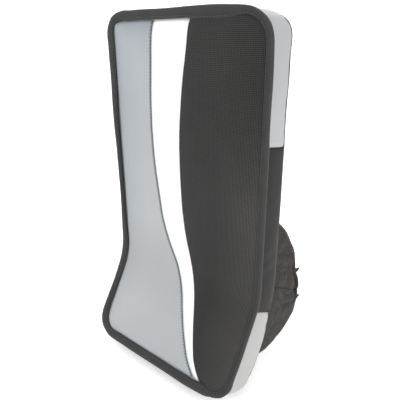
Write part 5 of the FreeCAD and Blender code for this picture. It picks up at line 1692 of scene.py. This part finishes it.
# ------------------------------------------------------------------ fingers and thumb
def stall(name, x0, x1, y0, y1, ztop, zbot, body, seed, material=None, creases=(0.36, 0.66), tip=1.0, nz=64, na=72):
    """A closed, slightly tapered finger of sewn fabric with joint creases and a rounded tip."""
    cx, cy, hx, hy = (x0 + x1) / 2, (y0 + y1) / 2, (x1 - x0) / 2, (y1 - y0) / 2
    ln = ztop - zbot
    a = np.arange(na) / na * 2 * math.pi
    k = np.linspace(0, 1, nz)
    k = np.concatenate([k[:-14], 1 - (1 - k[-15]) * (1 - np.linspace(0, 1, 30)[1:]) ** 1.7])
    rings = []
    capr = 12.0
    for w in k:
        z = ztop - ln * w
        rem = ln * (1 - w)
        f = math.sqrt(max(1e-4, 1 - (1 - min(rem, capr) / capr) ** 2)) if rem < capr else 1.0
        topr = ln * w
        g = 0.9 + 0.1 * min(1.0, topr / 4.0)
        t = (0.985 - 0.13 * w ** 1.4) * g
        ox, oy = ring_shape(a, hx * t * max(f, 0.03), hy * t * max(f, 0.03), 9)
        P = np.stack([cx + ox, cy + oy + 0 * a, np.full(na, z)], -1)
        nrm = np.stack([ox / hx, oy / hy, 0 * ox], -1)
        nrm /= np.linalg.norm(nrm, axis=1)[:, None] + 1e-9
        h = (value_noise(P * 0.001 * np.array([1, 1, 2.0]), 0.010, seed) * 0.45 + value_noise(P * 0.001, 0.0055, seed + 1) * 0.22 - 0.35) * f
        for c_ in creases:
            pos = (w - c_) * ln
            side = 0.45 + 0.55 * np.clip(-oy / hy, 0, 1)
            h = h - 1.15 * math.exp(-(pos / 1.7) ** 2) * side + 0.35 * math.exp(-((abs(pos) - 4.2) / 2.0) ** 2) * side
        # side seams
        h = h - 0.55 * np.exp(-((np.abs(oy) / 0.9) ** 2)) * f
        rings.append((P + nrm * h[:, None]) * 0.001)
    rings = np.array(rings)
    d = np.repeat((ln * k)[:, None], na, 1)
    uv = np.stack([np.repeat(a[None, :], len(k), 0) * (hx + hy) / 2, d], -1) * 0.001
    o = tube(name, rings, material or M["glove"], uv=uv)
    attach(o, body)
    return o, rings


def facing(name, x0, x1, z0, z1, y0, y1, body, seed):
    o = sheet_on_palm(name, x0, x1, z0, z1, y0, y1, M["leather"], 6.5, nx=26, nz=60, seed=seed)
    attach(o, body)
    rect_stitch("stitch_" + name, x0, x1, z0, z1, 6.5, y1 - 0.12, body, M["thread_pale"], inset=1.6, length=2.2, gap=1.0, radius=0.2)
    return o


mm = lambda v: v * 1000
for finger in ("index", "middle", "ring", "little"):
    body = finger + "_finger"
    lo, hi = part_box(finger + "_finger_stall")
    o, rg = stall(finger + "_finger_sleeve", mm(lo.x), mm(hi.x), mm(lo.y), mm(hi.y) - 0.3, mm(hi.z), mm(lo.z), body, 110 + len(finger))
    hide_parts(finger + "_finger_stall")
    flo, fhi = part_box(finger + "_finger_facing")
    f_ = facing(finger + "_leather_facing", mm(flo.x), mm(fhi.x), mm(flo.z), mm(fhi.z), mm(flo.y) - 0.7, mm(fhi.y), body, 130 + len(finger))
    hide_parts(finger + "_finger_facing")
    # fabric over the knuckle, from the palm sleeve into the finger
    cx, cy = (mm(lo.x) + mm(hi.x)) / 2, (mm(lo.y) + mm(hi.y)) / 2
    hx, hy = (mm(hi.x) - mm(lo.x)) / 2, (mm(hi.y) - mm(lo.y)) / 2
    a = np.arange(64) / 64 * 2 * math.pi
    rows_ = []
    prof = [(-43.4, 0.86, 0.0), (-43.8, 0.97, 0.0), (-45.5, 1.0, 0.15), (-47.0, 0.965, 0.3), (-49.0, 0.99, 0.55), (-51.5, 1.005, 0.75), (-54.0, 0.985, 0.9), (-56.5, 1.0, 1.0), (-58.2, 0.985, 1.0),
            (-58.8, 0.95, 1.0), (-58.4, 0.90, 1.0), (-52.0, 0.88, 1.0), (-47.0, 0.86, 0.5), (-43.6, 0.82, 0.0)]
    for z, sc_, _w in prof:
        ox, oy = ring_shape(a, hx * sc_, hy * sc_ * (1.02 if z < -50 else 1.0), 9)
        P = np.stack([cx + ox, cy + oy, np.full(64, z)], -1)
        P[:, :2] += (value_noise(P * 0.001, 0.008, 140)[:, None] * 0.3) * np.stack([np.sign(ox), np.sign(oy)], -1) * (0.5 if sc_ > 0.93 else 0)
        rows_.append(P * 0.001)
    kn = tube("knuckle_fabric_" + finger, np.array(rows_), M["glove"], closed=True)
    subdivide(kn, 1)
    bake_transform(kn)

lo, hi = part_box("thumb_stall")
o, rg = stall("thumb_sleeve", mm(lo.x), mm(hi.x), mm(lo.y), mm(hi.y) - 0.2, mm(hi.z), mm(lo.z), "thumb", 150, creases=(0.40, 0.68))
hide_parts("thumb_stall")
flo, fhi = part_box("thumb_facing")
f_ = facing("thumb_leather_facing", mm(flo.x), mm(fhi.x), mm(flo.z), mm(fhi.z), mm(flo.y) - 0.5, mm(fhi.y), "thumb", 160)
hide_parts("thumb_facing")
# fabric between the palm sleeve and the thumb
rows_ = []
a = np.arange(48) / 48 * 2 * math.pi
for x, sc_ in ((52.9, 0.86), (53.1, 1.0), (54.4, 1.03), (55.8, 0.95), (57.2, 1.0), (58.6, 1.02), (59.2, 0.96), (58.8, 0.82), (55.8, 0.78), (53.2, 0.78)):
    oz, oy = ring_shape(a, 13.5 * sc_, 8.4 * sc_, 7)
    rows_.append(np.stack([np.full(48, x), 6.0 + oy, -31.0 + oz], -1) * 0.001)
th = tube("thumb_web_fabric", np.array(rows_), M["glove"], closed=True)
subdivide(th, 1)
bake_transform(th)

# ------------------------------------------------------------------ wrist strap and hardware
lo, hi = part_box("wrist_strap")
sx0, sx1, sz0, sz1 = mm(lo.x), 57.0 + 3.4, mm(lo.z), mm(hi.z)
# the band lies over the cuff and wraps the ring's bar at its thumb end
px, py, pr = 57.0, 25.9, 2.7
path = [(x, 25.9 - 0.0) for x in np.linspace(sx0 + 0.8, px - 4.0, 46)]
path = [(x, y + 0.18 * math.sin((x - sx0) / 9.0)) for x, y in path]
path = np.array(path)
q = np.stack([path[:, 0], path[:, 1], np.full(len(path), (sz0 + sz1) / 2)], -1) * 0.001
strap = flat_band("wrist_strap_webbing", q, np.tile([0, 1.0, 0], (len(q), 1)), (sz1 - sz0) * 0.001, 0.0022, M["webbing"], 0.00012, 170)
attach(strap, "strap")
# folded eye round the bar
a = np.radians(np.linspace(100, 440, 40))
eye = np.stack([px + pr * np.cos(a), py + pr * np.sin(a), np.full(40, (sz0 + sz1) / 2)], -1)
lead = np.array([[px - 9.0, 27.2, 0], [px - 6.5, 27.4, 0], [px - 4.0, 28.2, 0]])
lead[:, 2] = (sz0 + sz1) / 2
tail = np.array([[px - 2.6, 24.6, 0], [px - 4.6, 24.6, 0], [px - 9.0, 24.75, 0]])
tail[:, 2] = (sz0 + sz1) / 2
mid = eye[2:-9]
pts = np.concatenate([[[px - 8.5, 26.2, (sz0 + sz1) / 2], [px - 4.2, 27.2, (sz0 + sz1) / 2]], mid[:: 2], [[px - 4.2, 24.9, (sz0 + sz1) / 2], [px - 8.5, 25.5, (sz0 + sz1) / 2]]]) * 0.001
ep, _ = resample(pts, 60, 6)
nr = ep - np.array([px, py, (sz0 + sz1) / 2]) * 0.001
nr[:, 2] = 0
nr /= np.linalg.norm(nr, axis=1)[:, None]
eyeo = flat_band("wrist_strap_eye", ep, nr, (sz1 - sz0 - 0.6) * 0.001, 0.0013, M["webbing"])
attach(eyeo, "strap")
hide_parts("wrist_strap")
# end binding, bar tacks and edge stitching
zc = (sz0 + sz1) / 2
for k, x in enumerate((sx0 + 2.2, 14.0 + 30.5, 14.0 + 33.5)):
    P = np.stack([np.full(30, x), np.full(30, 27.15), np.linspace(sz0 + 3, sz1 - 3, 30)], -1) * 0.001
    o = stitches("stitch_strap_%d" % k, P, np.tile([0, 1.0, 0], (30, 1)), M["thread_pale"], length=2.2, gap=0.8, radius=0.24)
    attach(o, "strap")
for k, z in enumerate((sz0 + 2.4, sz1 - 2.4)):
    P = np.stack([np.linspace(sx0 + 2, px - 10, 60), np.full(60, 27.15), np.full(60, z)], -1) * 0.001
    o = stitches("stitch_strap_edge_%d" % k, P, np.tile([0, 1.0, 0], (60, 1)), M["thread_dark"], length=2.6, gap=1.0, radius=0.22)
    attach(o, "strap")


def pile_patch(name, node, material, body, out):
    """A hook or loop patch with a softly raised pile and a sunk line round its border."""
    lo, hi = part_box(node)
    x0, x1, z0, z1 = mm(lo.x), mm(hi.x), mm(lo.z), mm(hi.z)
    y0, y1 = mm(lo.y), mm(hi.y)
    nx, nz = 70, 50
    X, Z = np.meshgrid(np.linspace(x0, x1, nx), np.linspace(z0, z1, nz), indexing="ij")
    e = np.minimum(np.minimum(X - x0, x1 - X), np.minimum(Z - z0, z1 - Z))
    P = np.stack([X, 0 * X, Z], -1) * 0.001
    t = (y1 - y0) * (0.55 + 0.38 * (1 - np.exp(-e / 0.9))) - 0.35 * np.exp(-(((e - 2.2) / 0.6) ** 2)) + 0.12 * value_noise(P, 0.0016, 7)
    if out > 0:
        top, bot = y0 + t, np.full_like(t, y0)
    else:
        top, bot = y1 - t, np.full_like(t, y1)
    o = slab(name, np.stack([X, top, Z], -1) * 0.001, np.stack([X, bot, Z], -1) * 0.001, material, P[..., [0, 2]])
    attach(o, body)
    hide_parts(node)
    return o


pile_patch("strap_hook_pile", "strap_hook_patch", M["hook"], "strap", -1)
pile_patch("strap_loop_pile", "strap_loop_patch", M["loop"], "root", 1)

# ------------------------------------------------------------------ carried-over CAD nodes
NODE_MATS = {"board_core": "foam", "face_foam": "foam", "stiffener_plate": "plate", "glove_base_plate": "plate", "mounting_screws": "steel", "screw_washers": "steel", "barrel_nuts": "steel", "anchor_rivets": "steel", "guard_eyelets": "steel", "strap_ring": "ring", "strap_anchor_tab": "webbing"}
for node, key in NODE_MATS.items():
    o = bpy.data.objects.get(node)
    if o is None or not hasattr(o.data, "materials"):
        continue
    if len(o.data.materials) == 0:
        o.data.materials.append(M[key])
    for sl in o.material_slots:
        sl.material = M[key]
